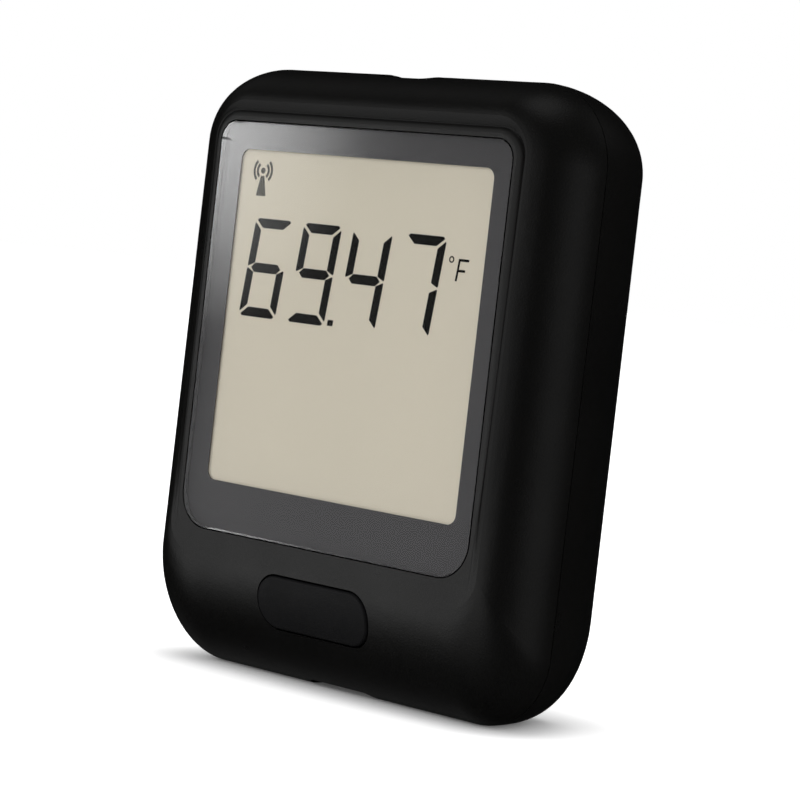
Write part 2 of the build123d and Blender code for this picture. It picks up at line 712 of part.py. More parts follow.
def pan_screw(x, z, shank_radius, tip, seat, head_radius, head_thick):
    """Pan-head screw along Y with a cross drive in its head."""
    head = post(x, z, head_radius, seat, seat + head_thick)
    rim = head.edges().filter_by(GeomType.CIRCLE).sort_by(Axis.Y)[-1]
    screw = fillet(rim, head_thick / 2) + post(x, z, shank_radius, tip, seat)
    share = head_radius / CASE_HEAD_RADIUS
    long = share * DRIVE_LENGTH / 2
    short = share * DRIVE_WIDTH / 2
    top = seat + head_thick
    for a, b in ((long, short), (short, long)):
        screw -= block(x - a, x + a, top - share * DRIVE_DEPTH, top + CUT, z - b, z + b)
    return screw


def board_screws():
    """Four small screws that hold the board to the front cover."""
    tip = BOARD_BACK - BOARD_SCREW_LENGTH
    return [
        pan_screw(x, z, BOARD_SCREW_RADIUS, tip, BOARD_BACK, BOARD_HEAD_RADIUS, BOARD_HEAD_THICK)
        for x, z in board_screw_places()
    ]


def case_screws():
    """Two screws that close the housing at its foot."""
    tip = SEAM - CASE_SCREW_REACH
    head = (CASE_HEAD_SEAT, CASE_HEAD_RADIUS, CASE_HEAD_THICK)
    return both_sides(CASE_SCREW_X, lambda x: pan_screw(x, CASE_SCREW_Z, CASE_SCREW_RADIUS, tip, *head))


def socket_shell():
    """Folded steel shell of the charging socket, open at the foot."""
    outer = Pos(0, SOCKET_MID) * RectangleRounded(SOCKET_WIDTH, SOCKET_THICK, SOCKET_CORNER)
    inner = Pos(0, SOCKET_MID) * RectangleRounded(
        SOCKET_WIDTH - 2 * SOCKET_SHEET, SOCKET_THICK - 2 * SOCKET_SHEET, SOCKET_CORNER - SOCKET_SHEET)
    return Pos(0, 0, SOCKET_MOUTH) * extrude(outer - inner, amount=SOCKET_LENGTH)


def socket_tongue():
    """Insulator of the charging socket: a block at the back and the contact tongue."""
    inner_half = SOCKET_WIDTH / 2 - SOCKET_SHEET
    depth = SOCKET_THICK / 2 - SOCKET_SHEET
    top = SOCKET_MOUTH + SOCKET_LENGTH
    plug = Pos(0, SOCKET_MID) * RectangleRounded(2 * inner_half, 2 * depth, SOCKET_CORNER - SOCKET_SHEET)
    back = Pos(0, 0, top - SOCKET_BACK_THICK) * extrude(plug, amount=SOCKET_BACK_THICK)
    half = TONGUE_THICK / 2
    low = SOCKET_MOUTH + TONGUE_SETBACK
    return back + block(-TONGUE_WIDTH / 2, TONGUE_WIDTH / 2, SOCKET_MID - half, SOCKET_MID + half, low, top)


def battery_pouch():
    """Sealed pouch cell with the folded seal along its top edge."""
    half = BATTERY_WIDTH / 2
    top = BATTERY_TOP
    body = block(-half, half, BATTERY_FRONT, BATTERY_BACK, BATTERY_BOTTOM, top - BATTERY_SEAL)
    body = fillet(body.edges().filter_by(Axis.Z), BATTERY_ROUND)
    middle = (BATTERY_FRONT + BATTERY_BACK) / 2
    seal_half = BATTERY_SEAL_THICK / 2
    inset = half - BATTERY_ROUND
    return body + block(-inset, inset, middle - seal_half, middle + seal_half, top - BATTERY_SEAL, top)


def battery_pad():
    """Foam tape that fixes the battery to the rear cover."""
    half = BATTERY_WIDTH / 2 - BATTERY_PAD_INSET
    low = BATTERY_BOTTOM + BATTERY_PAD_INSET
    high = BATTERY_TOP - BATTERY_SEAL - BATTERY_PAD_INSET
    return block(-half, half, BATTERY_BACK, INNER_BACK, low, high)


def battery_header():
    """Board connector for the battery leads, open towards the battery."""
    left = HEADER_SIDE - HEADER_WIDTH / 2 - BOARD_HALF
    right = left + HEADER_WIDTH
    low, high = HEADER_Z - HEADER_HEIGHT / 2, HEADER_Z + HEADER_HEIGHT / 2
    back = BOARD_BACK + HEADER_THICK
    wall = HEADER_WALL
    pocket = block(left + wall, right - wall, BOARD_BACK + wall, back + CUT, low + wall, high - wall)
    return block(left, right, BOARD_BACK, back, low, high) - pocket


def radio_board():
    """Small carrier board of the radio module."""
    half = MODULE_WIDTH / 2
    back = BOARD_BACK + MODULE_THICK
    return block(MODULE_X - half, MODULE_X + half, BOARD_BACK, back, MODULE_BOTTOM, MODULE_TOP)


def radio_shield():
    """Pressed steel can over the radio chip."""
    half = SHIELD_WIDTH / 2
    front = BOARD_BACK + MODULE_THICK
    back = front + SHIELD_THICK
    low = MODULE_BOTTOM + SHIELD_EDGE
    high = low + SHIELD_HEIGHT
    can = block(MODULE_X - half, MODULE_X + half, front, back, low, high)
    sheet = SHIELD_SHEET
    left, right = MODULE_X - half + sheet, MODULE_X + half - sheet
    return can - block(left, right, front - CUT, back - sheet, low + sheet, high - sheet)


def radio_antenna():
    """Ceramic chip antenna at the top of the radio module."""
    half = ANTENNA_WIDTH / 2
    front = BOARD_BACK + MODULE_THICK
    high = MODULE_TOP - ANTENNA_EDGE
    return block(MODULE_X - half, MODULE_X + half, front, front + ANTENNA_THICK, high - ANTENNA_HEIGHT, high)


def chip(x, z, width, height, thick):
    """Moulded chip on the back of the board with a row of legs on its left and right."""
    half = width / 2
    body = block(x - half, x + half, BOARD_BACK, BOARD_BACK + thick, z - height / 2, z + height / 2)
    count = int((height - CHIP_LEG_WIDTH) / CHIP_LEG_PITCH)
    reach = half + CHIP_LEG
    for leg in range(count):
        low = z + (leg - (count - 1) / 2) * CHIP_LEG_PITCH - CHIP_LEG_WIDTH / 2
        back = BOARD_BACK + CHIP_LEG_THICK
        body += block(x - reach, x + reach, BOARD_BACK, back, low, low + CHIP_LEG_WIDTH)
    return body


def controller_chip():
    """Square chip beside the radio module."""
    z = BOARD_TOP - CONTROLLER_DROP
    return chip(CONTROLLER_X, z, CONTROLLER_SIDE, CONTROLLER_SIDE, CONTROLLER_THICK)


def memory_chip():
    """Chip that stores the readings, near the board's side."""
    x = BOARD_HALF - MEMORY_SIDE
    return chip(x, BOARD_TOP - MEMORY_DROP, MEMORY_WIDTH, MEMORY_HEIGHT, MEMORY_THICK)


def charger_chip():
    """Small chip of the charging circuit, beside the socket."""
    return chip(CHARGER_X, CHARGER_Z, CHARGER_SIDE, CHARGER_SIDE, CHARGER_THICK)


def clock_crystal():
    """Cylindrical crystal can lying on the board."""
    x = BOARD_HALF - CRYSTAL_SIDE
    middle = Pos(x, BOARD_BACK + CRYSTAL_RADIUS, BOARD_TOP - CRYSTAL_DROP)
    can = middle * Cylinder(CRYSTAL_RADIUS, CRYSTAL_LENGTH)
    return fillet(can.edges().filter_by(GeomType.CIRCLE), CRYSTAL_RADIUS / 4)


def power_inductor():
    """Square choke of the charging circuit."""
    side = RectangleRounded(INDUCTOR_SIDE, INDUCTOR_SIDE, INDUCTOR_SIDE / 8)
    return slab(Pos(INDUCTOR_X, INDUCTOR_Z) * side, BOARD_BACK, BOARD_BACK + INDUCTOR_THICK)


def board_passives():
    """Row of small resistors and capacitors above the charging socket."""
    return [
        block(
            PASSIVE_LEFT + place * PASSIVE_PITCH,
            PASSIVE_LEFT + place * PASSIVE_PITCH + PASSIVE_WIDTH,
            BOARD_BACK,
            BOARD_BACK + PASSIVE_THICK,
            PASSIVE_LOW,
            PASSIVE_LOW + PASSIVE_LENGTH,
        )
        for place in range(PASSIVE_COUNT)
    ]


def temperature_sensor():
    """Bead thermistor just under the top wall, on two leads laid along the board."""
    y = BOARD_BACK + SENSOR_LEAD_RADIUS
    hang = (Align.CENTER, Align.CENTER, Align.MAX)
    lead = Cylinder(SENSOR_LEAD_RADIUS, SENSOR_LEAD_LENGTH, align=hang)
    left, right = both_sides(SENSOR_LEAD_SPREAD, lambda x: Pos(SENSOR_X + x, y, SENSOR_Z) * lead)
    return Pos(SENSOR_X, y, SENSOR_Z) * Sphere(SENSOR_RADIUS) + left + right


def write(name, shape):
    """Write one piece, or a list of like pieces, to its own file."""
    solids = shape if isinstance(shape, list) else [shape]
    solids = [solid for item in solids for solid in item.solids()]
    whole = Compound(children=solids) if len(solids) > 1 else solids[0]
    export_step(whole, f"parts/{name}.step")
    print(name, len(solids), round(sum(solid.volume for solid in solids), 1))


def main():
    os.makedirs("parts", exist_ok=True)
    write("front_cover", front_cover())
    write("rear_cover", rear_cover())
    write("display_lens", display_lens())
    write("lens_border", lens_border())
    write("lens_adhesive", lens_adhesive())
    write("display_polariser", display_polariser())
    write("display_glass", display_glass())
    write("display_reflector", display_reflector())
    write("display_frame", display_frame())
    write("contact_strip", contact_strip())
    write("button_cap", button_cap())
    write("switch_plunger", switch_plunger())
    write("switch_base", switch_base())
    write("switch_plate", switch_plate())
    write("circuit_board", circuit_board())
    write("board_screws", board_screws())
    write("case_screws", case_screws())
    write("socket_shell", socket_shell())
    write("socket_tongue", socket_tongue())
    write("battery_pouch", battery_pouch())
    write("battery_pad", battery_pad())
    write("battery_header", battery_header())
    write("radio_board", radio_board())
    write("radio_shield", radio_shield())
    write("radio_antenna", radio_antenna())
    write("controller_chip", controller_chip())
    write("memory_chip", memory_chip())
    write("charger_chip", charger_chip())
    write("clock_crystal", clock_crystal())
    write("power_inductor", power_inductor())
    write("board_passives", board_passives())
    write("temperature_sensor", temperature_sensor())


main()
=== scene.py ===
# %% [markdown]
# # A wireless temperature data logger
# The logger is a palm-sized black housing with a clear pane over a segment
# display. Its solids come from the CAD frame, which already has the right form.
# This script gives them their finishes, prints the reading on the display, adds
# the small metal and solder details, and lights the logger as in a product shot.

import bmesh
import bpy
import numpy as np
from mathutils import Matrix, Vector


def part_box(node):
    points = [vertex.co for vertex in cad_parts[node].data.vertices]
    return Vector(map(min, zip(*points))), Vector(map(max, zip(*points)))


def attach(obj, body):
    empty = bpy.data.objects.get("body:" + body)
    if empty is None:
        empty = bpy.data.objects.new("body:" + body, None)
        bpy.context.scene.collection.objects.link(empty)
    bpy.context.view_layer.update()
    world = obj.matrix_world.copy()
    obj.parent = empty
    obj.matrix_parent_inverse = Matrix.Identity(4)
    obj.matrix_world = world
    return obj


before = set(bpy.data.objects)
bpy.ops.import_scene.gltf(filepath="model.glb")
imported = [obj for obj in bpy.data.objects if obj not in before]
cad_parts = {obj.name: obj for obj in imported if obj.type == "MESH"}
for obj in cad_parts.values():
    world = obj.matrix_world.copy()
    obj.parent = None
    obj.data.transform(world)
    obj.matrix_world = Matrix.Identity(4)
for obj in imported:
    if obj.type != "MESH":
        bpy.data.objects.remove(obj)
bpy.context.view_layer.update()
MM = 0.001


def box_mm(node):
    """Lowest and highest corner of a CAD node, in millimetres, as two arrays."""
    low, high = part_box(node)
    return np.array(low) / MM, np.array(high) / MM


HOUSING_LOW, HOUSING_HIGH = box_mm("front_cover")
PANE_LOW, PANE_HIGH = box_mm("display_lens")
FILM_LOW, FILM_HIGH = box_mm("display_polariser")
print("housing", HOUSING_LOW, HOUSING_HIGH)


# %% [markdown]
# ## Camera
# The photo is taken from the right at about the logger's own height, with the
# camera turned a little about its axis. A camera is a place and three
# directions. The directions come from three turns: the yaw round the upright
# axis, the pitch up or down, and the roll about the line of sight. The place
# follows from where the logger's middle lies in front of the camera.

# %% Camera
YAW, PITCH, ROLL = -42.646, 2.639, 6.456
MIDDLE_IN_VIEW = np.array([-8.58, -2.377, 374.383])
IMAGE_SIDE = 800
FOCAL_IN_PIXELS = 2870
SENSOR = 36.0


def turn(degrees, axis):
    """Matrix of a turn about the x, y or z axis, by the right-hand rule."""
    angle = np.radians(degrees)
    c, s = np.cos(angle), np.sin(angle)
    a, b = [(1, 2), (2, 0), (0, 1)]["xyz".index(axis)]
    matrix = np.eye(3)
    matrix[a, a] = matrix[b, b] = c
    matrix[a, b], matrix[b, a] = -s, s
    return matrix


LEVEL_VIEW = np.array([[1, 0, 0], [0, 0, -1], [0, 1, 0]])
view = turn(ROLL, "z") @ turn(PITCH, "x") @ LEVEL_VIEW @ turn(YAW, "z")
middle = np.array([0, HOUSING_LOW[1], HOUSING_HIGH[2] / 2])
camera_place = (middle - view.T @ MIDDLE_IN_VIEW) * MM

camera_data = bpy.data.cameras.new("camera")
camera_data.sensor_width = SENSOR
camera_data.lens = FOCAL_IN_PIXELS / IMAGE_SIDE * SENSOR
camera_data.clip_start = 0.01
camera = bpy.data.objects.new("camera", camera_data)
pose = np.eye(4)
pose[:3, 0], pose[:3, 1], pose[:3, 2] = view[0], -view[1], -view[2]
pose[:3, 3] = camera_place
camera.matrix_world = pose.T.tolist()
bpy.context.collection.objects.link(camera)
bpy.context.scene.camera = camera
print("camera", camera_place.round(3), "lens", round(camera_data.lens, 1))


# %% [markdown]
# ## Meshes from arrays
# Every new piece here is a grid of points: one direction runs round an outline,
# the other over the piece from its front to its back. Numpy works out all the
# points at once, and the faces are the grid's cells. When both ends of the
# grid shrink to one point, the piece is a closed plate or bead.

# %% A helper that turns grids of points into one mesh
MERGE_WITHIN = 1e-7
FLAT_WITHIN = 1e-8


def grid_faces(rows, columns, start):
    """Cells of a grid whose columns close up, each with its corners in order."""
    row = np.arange(rows - 1)[:, None] * columns
    here = np.arange(columns)[None, :]
    after = (here + 1) % columns
    cells = np.stack([row + here, row + after, row + columns + after, row + columns + here], -1)
    return cells.reshape(-1, 4) + start


def piece_from_grids(name, grids, material, smooth=False):
    """One object made of closed grids of points in millimetres, shape (rows, columns, 3).

    Its points are merged where the grids shrink to a point, and its faces are
    turned outwards.
    """
    points, faces, start = [], [], 0
    for grid in grids:
        rows, columns, _ = grid.shape
        points.append(grid.reshape(-1, 3))
        faces.append(grid_faces(rows, columns, start))
        start += rows * columns
    mesh = bpy.data.meshes.new(name)
    mesh.from_pydata((np.concatenate(points) * MM).tolist(), [], np.concatenate(faces).tolist())
    close_and_turn_out(mesh)
    mesh.polygons.foreach_set("use_smooth", [smooth] * len(mesh.polygons))
    mesh.materials.append(material)
    piece = bpy.data.objects.new(name, mesh)
    bpy.context.collection.objects.link(piece)
    print(name, len(mesh.vertices), "points", len(mesh.polygons), "faces")
    return piece


def close_and_turn_out(mesh):
    """Merges coinciding points, drops flat faces and turns the rest outwards."""
    work = bmesh.new()
    work.from_mesh(mesh)
    bmesh.ops.remove_doubles(work, verts=work.verts, dist=MERGE_WITHIN)
    bmesh.ops.dissolve_degenerate(work, dist=FLAT_WITHIN, edges=work.edges)
    bmesh.ops.recalc_face_normals(work, faces=work.faces)
    work.to_mesh(mesh)
    work.free()


def plate(outline, front, back):
    """Thin plate: an outline in (x, z) drawn to its middle on the front and the back.

    Point (i, j) is middle + reach_i * (outline_j - middle), at the depth of row i,
    with reach 0, 1, 1, 0. It suits outlines that are seen whole from their middle.
    """
    outline = np.asarray(outline, float)
    middle = outline.mean(axis=0)
    reach = np.array([0, 1, 1, 0])[:, None, None]
    flat = middle + reach * (outline - middle)
    depth = np.array([front, front, back, back])[:, None] * np.ones(len(outline))
    return np.stack([flat[..., 0], depth, flat[..., 1]], -1)


def band(inner, outer, front, back):
    """Flat band between two outlines of as many points, closed into a loop or an arc.

    The grid goes round the band's section: inner front, outer front, outer back, inner back.
    """
    inner, outer = np.asarray(inner, float), np.asarray(outer, float)
    flat = np.stack([inner, outer, outer, inner], 1)
    depth = np.array([front, front, back, back])[None, :] * np.ones((len(inner), 1))
    return np.stack([flat[..., 0], depth, flat[..., 1]], -1)


def capped(grid):
    """The same grid with both ends drawn to a point, so that an open tube is closed."""
    ends = [np.broadcast_to(row.mean(1, keepdims=True), row.shape) for row in (grid[:1], grid[-1:])]
    return np.concatenate([ends[0], grid, ends[1]])


def circle(x, z, radius, start=0.0, stop=360.0, count=32):
    """Points on a circle or an arc, at equal angles from start to stop."""
    whole = stop - start == 360.0
    angle = np.radians(np.linspace(start, stop, count, endpoint=not whole))
    return np.stack([x + radius * np.cos(angle), z + radius * np.sin(angle)], -1)


print("rows, columns and axes of a round plate", plate(circle(0, 0, 1), 0, 1).shape)


# %% [markdown]
# ## Shared effects
# Moulded plastic is never one even tone. Its skin has the fine grain of the
# mould, and its gloss changes a little where it was polished or handled. Those
# effects serve several finishes, so each is a node group that puts out a mask
# or a normal. Each finish then uses it at its own scale and strength.

# %% Node helpers


def new_group(name, inputs, outputs):
    """Empty node group with float inputs {name: default} and outputs {name: socket type}."""
    group = bpy.data.node_groups.new(name, "ShaderNodeTree")
    for key, default in inputs.items():
        socket = group.interface.new_socket(key, in_out="INPUT", socket_type="NodeSocketFloat")
        socket.default_value = default
    for key, kind in outputs.items():
        group.interface.new_socket(key, in_out="OUTPUT", socket_type=kind)
    return group, group.nodes.new("NodeGroupInput"), group.nodes.new("NodeGroupOutput")


def node(tree, kind, links=(), **values):
    """New node with its settings, its socket values and its incoming links.

    A value's key is a node property, or else a socket's name or number.
    """
    made = tree.nodes.new(kind)
    for key, value in values.items():
        if hasattr(made, key):
            setattr(made, key, value)
        else:
            made.inputs[key.replace("_", " ").title()].default_value = value
    for socket, source in dict(links).items():
        tree.links.new(source, made.inputs[socket])
    return made


def math(tree, operation, first, second):
    """Math node on two sources or numbers."""
    made = tree.nodes.new("ShaderNodeMath")
    made.operation = operation
    for socket, value in zip(made.inputs, (first, second)):
        if isinstance(value, (int, float)):
            socket.default_value = value
        else:
            tree.links.new(value, socket)
    return made.outputs[0]


def set_sockets(made, names, values):
    """Sets the named sockets of a node to plain values."""
    for name, value in zip(names, values):
        made.inputs[name].default_value = value
    return made


def box_distance(tree, place, middle, half, axes=(1, 1, 1)):
    """Distance from a box along the axes marked 1: length(max(|place - middle| - half, 0))."""
    step = place
    for operation, value in (("SUBTRACT", middle), ("ABSOLUTE", None), ("SUBTRACT", half),
                             ("MULTIPLY", axes), ("MAXIMUM", (0, 0, 0)), ("LENGTH", None)):
        made = node(tree, "ShaderNodeVectorMath", {0: step}, operation=operation)
        if value is not None:
            made.inputs[1].default_value = tuple(value)
        step = made.outputs["Value" if operation == "LENGTH" else "Vector"]
    return step


print("node helpers", node.__name__, math.__name__, box_distance.__name__)


# %% Grain of a mould's skin
GRAIN_HEIGHT = 0.1
NOISE_RANGE = (0.3, 0.7)


def grain_group():
    """Fine even grain as a normal, and the same grain as a mask."""
    group, given, out = new_group(
        "mould_grain",
        {"Scale": 4000.0, "Depth": 0.02},
        {"Mask": "NodeSocketFloat", "Normal": "NodeSocketVector"},
    )
    place = group.nodes.new("ShaderNodeTexCoord").outputs["Object"]
    links = {"Vector": place, "Scale": given.outputs["Scale"]}
    noise = node(group, "ShaderNodeTexNoise", links, detail=3.0)
    links = {"Height": noise.outputs["Fac"], "Strength": given.outputs["Depth"]}
    bump = node(group, "ShaderNodeBump", links, distance=GRAIN_HEIGHT * MM)
    group.links.new(noise.outputs["Fac"], out.inputs["Mask"])
    group.links.new(bump.outputs["Normal"], out.inputs["Normal"])
    return group


def cloud_group():
    """Slow change from place to place, between two values."""
    group, given, out = new_group(
        "slow_cloud", {"Scale": 60.0, "Low": 0.3, "High": 0.5}, {"Value": "NodeSocketFloat"})
    place = group.nodes.new("ShaderNodeTexCoord").outputs["Object"]
    links = {"Vector": place, "Scale": given.outputs["Scale"]}
    noise = node(group, "ShaderNodeTexNoise", links, detail=4.0)
    links = {"Value": noise.outputs["Fac"], "To Min": given.outputs["Low"],
             "To Max": given.outputs["High"]}
    spread = node(group, "ShaderNodeMapRange", links)
    set_sockets(spread, ("From Min", "From Max"), NOISE_RANGE)
    group.links.new(spread.outputs["Result"], out.inputs["Value"])
    return group


GRAIN = grain_group()
CLOUD = cloud_group()
print("groups", GRAIN.name, CLOUD.name)


# %% [markdown]
# ## Soft foot of the rim
# The rim round the window is rounded over, and where it meets the face the
# moulding has a wide soft hollow instead of a crease. This effect is a height
# that is greatest along the rim's foot and runs out on both sides of it. As a
# bump it fills the crease, so that light runs softly from the rim to the face.

# %% Height along the rim's foot
RIM_REACH, RIM_REACH_TOP, RIM_CORNER = 1.8, 1.9, 4.2
RIM_RUNS_OUT = ((19.0, 0.0), (32.0, 1.0))  # height above the floor, share of the effect
FOOT_INSET = ((30.0, 0.5), (76.0, 0.13))  # height above the floor, foot's way inside the outline
RIM_INNER, RIM_OUTER = 0.9, 2.2
INNER_FILL, OUTER_FALL = 0.22, 0.36


def by_height(group, upright, low_end, high_end):
    """Value that runs from one (height in millimetres, value) pair to the other."""
    ramp = node(group, "ShaderNodeMapRange", {"Value": upright})
    values = (low_end[0] * MM, high_end[0] * MM, low_end[1], high_end[1])
    return set_sockets(ramp, ("From Min", "From Max", "To Min", "To Max"), values).outputs["Result"]


def ratio_squared(group, distance, reach):
    """max(1 + distance / reach, 0)^2"""
    share = math(group, "ADD", math(group, "DIVIDE", distance, reach), 1.0)
    return math(group, "POWER", math(group, "MAXIMUM", share, 0.0), 2.0)


def rim_group():
    """Height in millimetres on both sides of the rim's foot, where d is the distance from it.

    Inside it is fill * (1 + d / inner)^2 and outside it is
    fill - fall * (1 - (1 - d / outer)^2), and each ratio is cut off at 0. The
    rim's outline is a rectangle with round corners. The foot lies inside it,
    more so lower down, where the rim's step is smaller.
    """
    group, _, out = new_group("rim_foot", {}, {"Height": "NodeSocketFloat"})
    low, high = PANE_LOW[2] - RIM_REACH, PANE_HIGH[2] + RIM_REACH_TOP
    middle = np.array([0, 0, (low + high) / 2]) * MM
    half_wide, half_tall = PANE_HIGH[0] + RIM_REACH - RIM_CORNER, (high - low) / 2 - RIM_CORNER
    half = np.array([half_wide, 1.0, half_tall]) * MM
    place = group.nodes.new("ShaderNodeTexCoord").outputs["Object"]
    upright = node(group, "ShaderNodeSeparateXYZ", {0: place}).outputs["Z"]

    from_box = math(group, "DIVIDE", box_distance(group, place, middle, half, (1, 0, 1)), MM)
    from_outline = math(group, "SUBTRACT", from_box, RIM_CORNER)
    away = math(group, "ADD", from_outline, by_height(group, upright, *FOOT_INSET))
    inner = ratio_squared(group, math(group, "MINIMUM", away, 0.0), RIM_INNER)
    beyond = ratio_squared(group, math(group, "MAXIMUM", away, 0.0), -RIM_OUTER)
    outer = math(group, "SUBTRACT", 1.0, beyond)
    filled = math(group, "SUBTRACT", math(group, "MULTIPLY", inner, INNER_FILL),
                  math(group, "MULTIPLY", outer, OUTER_FALL))
    share = by_height(group, upright, *RIM_RUNS_OUT)
    group.links.new(math(group, "MULTIPLY", filled, share), out.inputs["Height"])
    return group


RIM = rim_group()
print("group", RIM.name)


# %% A finish from a few values
GLOSS_CLOUD_FINER = 2.3


def use_group(tree, group, **values):
    """Places a node group in a material with its own values."""
    made = tree.nodes.new("ShaderNodeGroup")
    made.node_tree = group
    for key, value in values.items():
        made.inputs[key.title()].default_value = value
    return made


def finish(name, dark, light, rough, grain, cloud=60.0, **sockets):
    """Material that drifts between two colours and two roughnesses, with a fine grain.

    dark, light: colours. rough: lowest and highest roughness. grain: scale and depth.
    sockets: plain values on the shader itself, by socket name.
    """
    material = bpy.data.materials.new(name)
    material.use_nodes = True
    tree = material.node_tree
    shader = tree.nodes["Principled BSDF"]
    tone = use_group(tree, CLOUD, scale=cloud, low=0.0, high=1.0)
    mix = tree.nodes.new("ShaderNodeMix")
    mix.data_type = "RGBA"
    mix.inputs["A"].default_value = (*dark, 1)
    mix.inputs["B"].default_value = (*light, 1)
    tree.links.new(tone.outputs["Value"], mix.inputs["Factor"])
    tree.links.new(mix.outputs["Result"], shader.inputs["Base Color"])
    gloss = use_group(tree, CLOUD, scale=cloud * GLOSS_CLOUD_FINER, low=rough[0], high=rough[1])
    tree.links.new(gloss.outputs["Value"], shader.inputs["Roughness"])
    skin = use_group(tree, GRAIN, scale=grain[0], depth=grain[1])
    tree.links.new(skin.outputs["Normal"], shader.inputs["Normal"])
    for key, value in sockets.items():
        shader.inputs[key.replace("_", " ")].default_value = value
    return material


print("each finish uses the groups", CLOUD.name, "and", GRAIN.name)


# %% [markdown]
# ## Finishes
# The two covers are one satin black, slightly warm, which drinks most of the
# light. The button is a cooler, finer black. The border behind the pane is a
# dark grey print, and the display film is a warm beige. The pieces inside are
# plain metal, resin, foil and solder mask.

# %% Finishes of the outer pieces
HOUSING = finish("housing_black", (0.0036, 0.0035, 0.0033), (0.0048, 0.0047, 0.0044), (0.27, 0.33),
                 (5200.0, 0.25), cloud=35.0, Specular_IOR_Level=0.3)
BUTTON = finish("button_black", (0.0058, 0.0058, 0.0063), (0.0074, 0.0074, 0.008), (0.42, 0.5),
                (6500.0, 0.25), cloud=80.0, Specular_IOR_Level=0.15)
BORDER = finish("border_print", (0.073, 0.071, 0.0745), (0.078, 0.076, 0.0795), (0.1, 0.12),
                (9000.0, 0.0), cloud=50.0, Specular_IOR_Level=0.75)
DISPLAY = finish("display_film", (0.779, 0.716, 0.589), (0.796, 0.733, 0.602), (0.5, 0.6),
                 (7000.0, 0.04), cloud=30.0, Specular_IOR_Level=0.0)
INK = finish("display_ink", (0.003, 0.0028, 0.0022), (0.005, 0.0047, 0.004), (0.55, 0.65),
             (9000.0, 0.05), cloud=90.0, Specular_IOR_Level=0.0)
FAINT_INK = finish("display_faint_ink", (0.07, 0.066, 0.052), (0.08, 0.075, 0.06), (0.55, 0.65),
                   (9000.0, 0.05), cloud=90.0, Specular_IOR_Level=0.0)


def front_black():
    """The housing's finish with the soft foot of the rim as one more bump."""
    material = HOUSING.copy()
    material.name = "front_black"
    tree = material.node_tree
    normal = tree.nodes["Principled BSDF"].inputs["Normal"]
    links = {"Height": use_group(tree, RIM).outputs["Height"], "Normal": normal.links[0].from_socket}
    bump = node(tree, "ShaderNodeBump", links, distance=MM)
    tree.links.new(bump.outputs["Normal"], normal)
    return material


FRONT = front_black()


def clear_pane():
    """Clear acrylic that bends light, and lets lamps through to the display behind it.

    Its shader is a plain clear one. For rays that only ask whether a lamp is
    hidden, a see-through shader takes its place, because bent light would
    otherwise leave the display dark.
    """
    material = finish("clear_acrylic", (0.98, 0.985, 0.98), (1.0, 1.0, 1.0), (0.0, 0.01),
                      (300.0, 0.0), cloud=20.0, Transmission_Weight=1.0, IOR=1.49,
                      Specular_Tint=(0.0, 0.0, 0.0, 1))
    tree = material.node_tree
    shader, out = tree.nodes["Principled BSDF"], tree.nodes["Material Output"]
    through = tree.nodes.new("ShaderNodeBsdfTransparent")
    mix = tree.nodes.new("ShaderNodeMixShader")
    light = tree.nodes.new("ShaderNodeLightPath")
    tree.links.new(light.outputs["Is Shadow Ray"], mix.inputs["Fac"])
    tree.links.new(shader.outputs["BSDF"], mix.inputs[1])
    tree.links.new(through.outputs["BSDF"], mix.inputs[2])
    tree.links.new(mix.outputs["Shader"], out.inputs["Surface"])
    return material


PANE = clear_pane()
print("outer finishes", [made.name for made in (FRONT, HOUSING, BUTTON, BORDER, DISPLAY, PANE)])

# %% Finishes of the inner pieces
STEEL = finish("tinned_steel", (0.52, 0.52, 0.5), (0.64, 0.64, 0.62), (0.24, 0.38),
               (2500.0, 0.15), Metallic=1.0)
ZINC = finish("zinc_screw", (0.34, 0.34, 0.35), (0.46, 0.46, 0.47), (0.3, 0.42),
              (4000.0, 0.2), Metallic=1.0)
FOIL = finish("pouch_foil", (0.55, 0.56, 0.57), (0.66, 0.67, 0.68), (0.28, 0.42),
              (1200.0, 0.3), Metallic=1.0)
MIRROR_FILM = finish("reflector_film", (0.66, 0.64, 0.6), (0.72, 0.7, 0.66), (0.3, 0.4),
                     (3000.0, 0.1), Metallic=1.0)
MASK = finish("solder_mask", (0.012, 0.1, 0.04), (0.02, 0.13, 0.055), (0.22, 0.34), (1800.0, 0.2))
RESIN = finish("chip_resin", (0.018, 0.018, 0.019), (0.03, 0.03, 0.031), (0.5, 0.62), (3500.0, 0.3))
WHITE = finish("white_moulding", (0.7, 0.7, 0.68), (0.78, 0.78, 0.76), (0.42, 0.52), (3000.0, 0.2))
BLACK = finish("black_moulding", (0.02, 0.02, 0.02), (0.032, 0.032, 0.032), (0.4, 0.5),
               (3000.0, 0.25))
RUBBER = finish("strip_rubber", (0.36, 0.33, 0.28), (0.46, 0.43, 0.37), (0.6, 0.7),
                (2500.0, 0.3), cloud=300.0)
FOAM = finish("foam_tape", (0.07, 0.07, 0.07), (0.12, 0.12, 0.12), (0.85, 0.95),
              (1500.0, 0.8), cloud=400.0)
TAPE = finish("ring_tape", (0.025, 0.025, 0.025), (0.04, 0.04, 0.04), (0.6, 0.7),
              (1500.0, 0.4), cloud=200.0)
CERAMIC = finish("fired_ceramic", (0.6, 0.56, 0.48), (0.7, 0.66, 0.58), (0.4, 0.5),
                 (2500.0, 0.2), cloud=200.0)
FERRITE = finish("pressed_ferrite", (0.06, 0.06, 0.062), (0.1, 0.1, 0.102), (0.55, 0.65),
                 (2000.0, 0.4), cloud=300.0)
BEAD = finish("bead_resin", (0.015, 0.015, 0.016), (0.025, 0.025, 0.026), (0.12, 0.2),
              (2000.0, 0.05))
GLASS = finish("display_glass", (0.8, 0.83, 0.81), (0.86, 0.89, 0.87), (0.02, 0.05), (800.0, 0.02),
               Transmission_Weight=1.0, IOR=1.52)
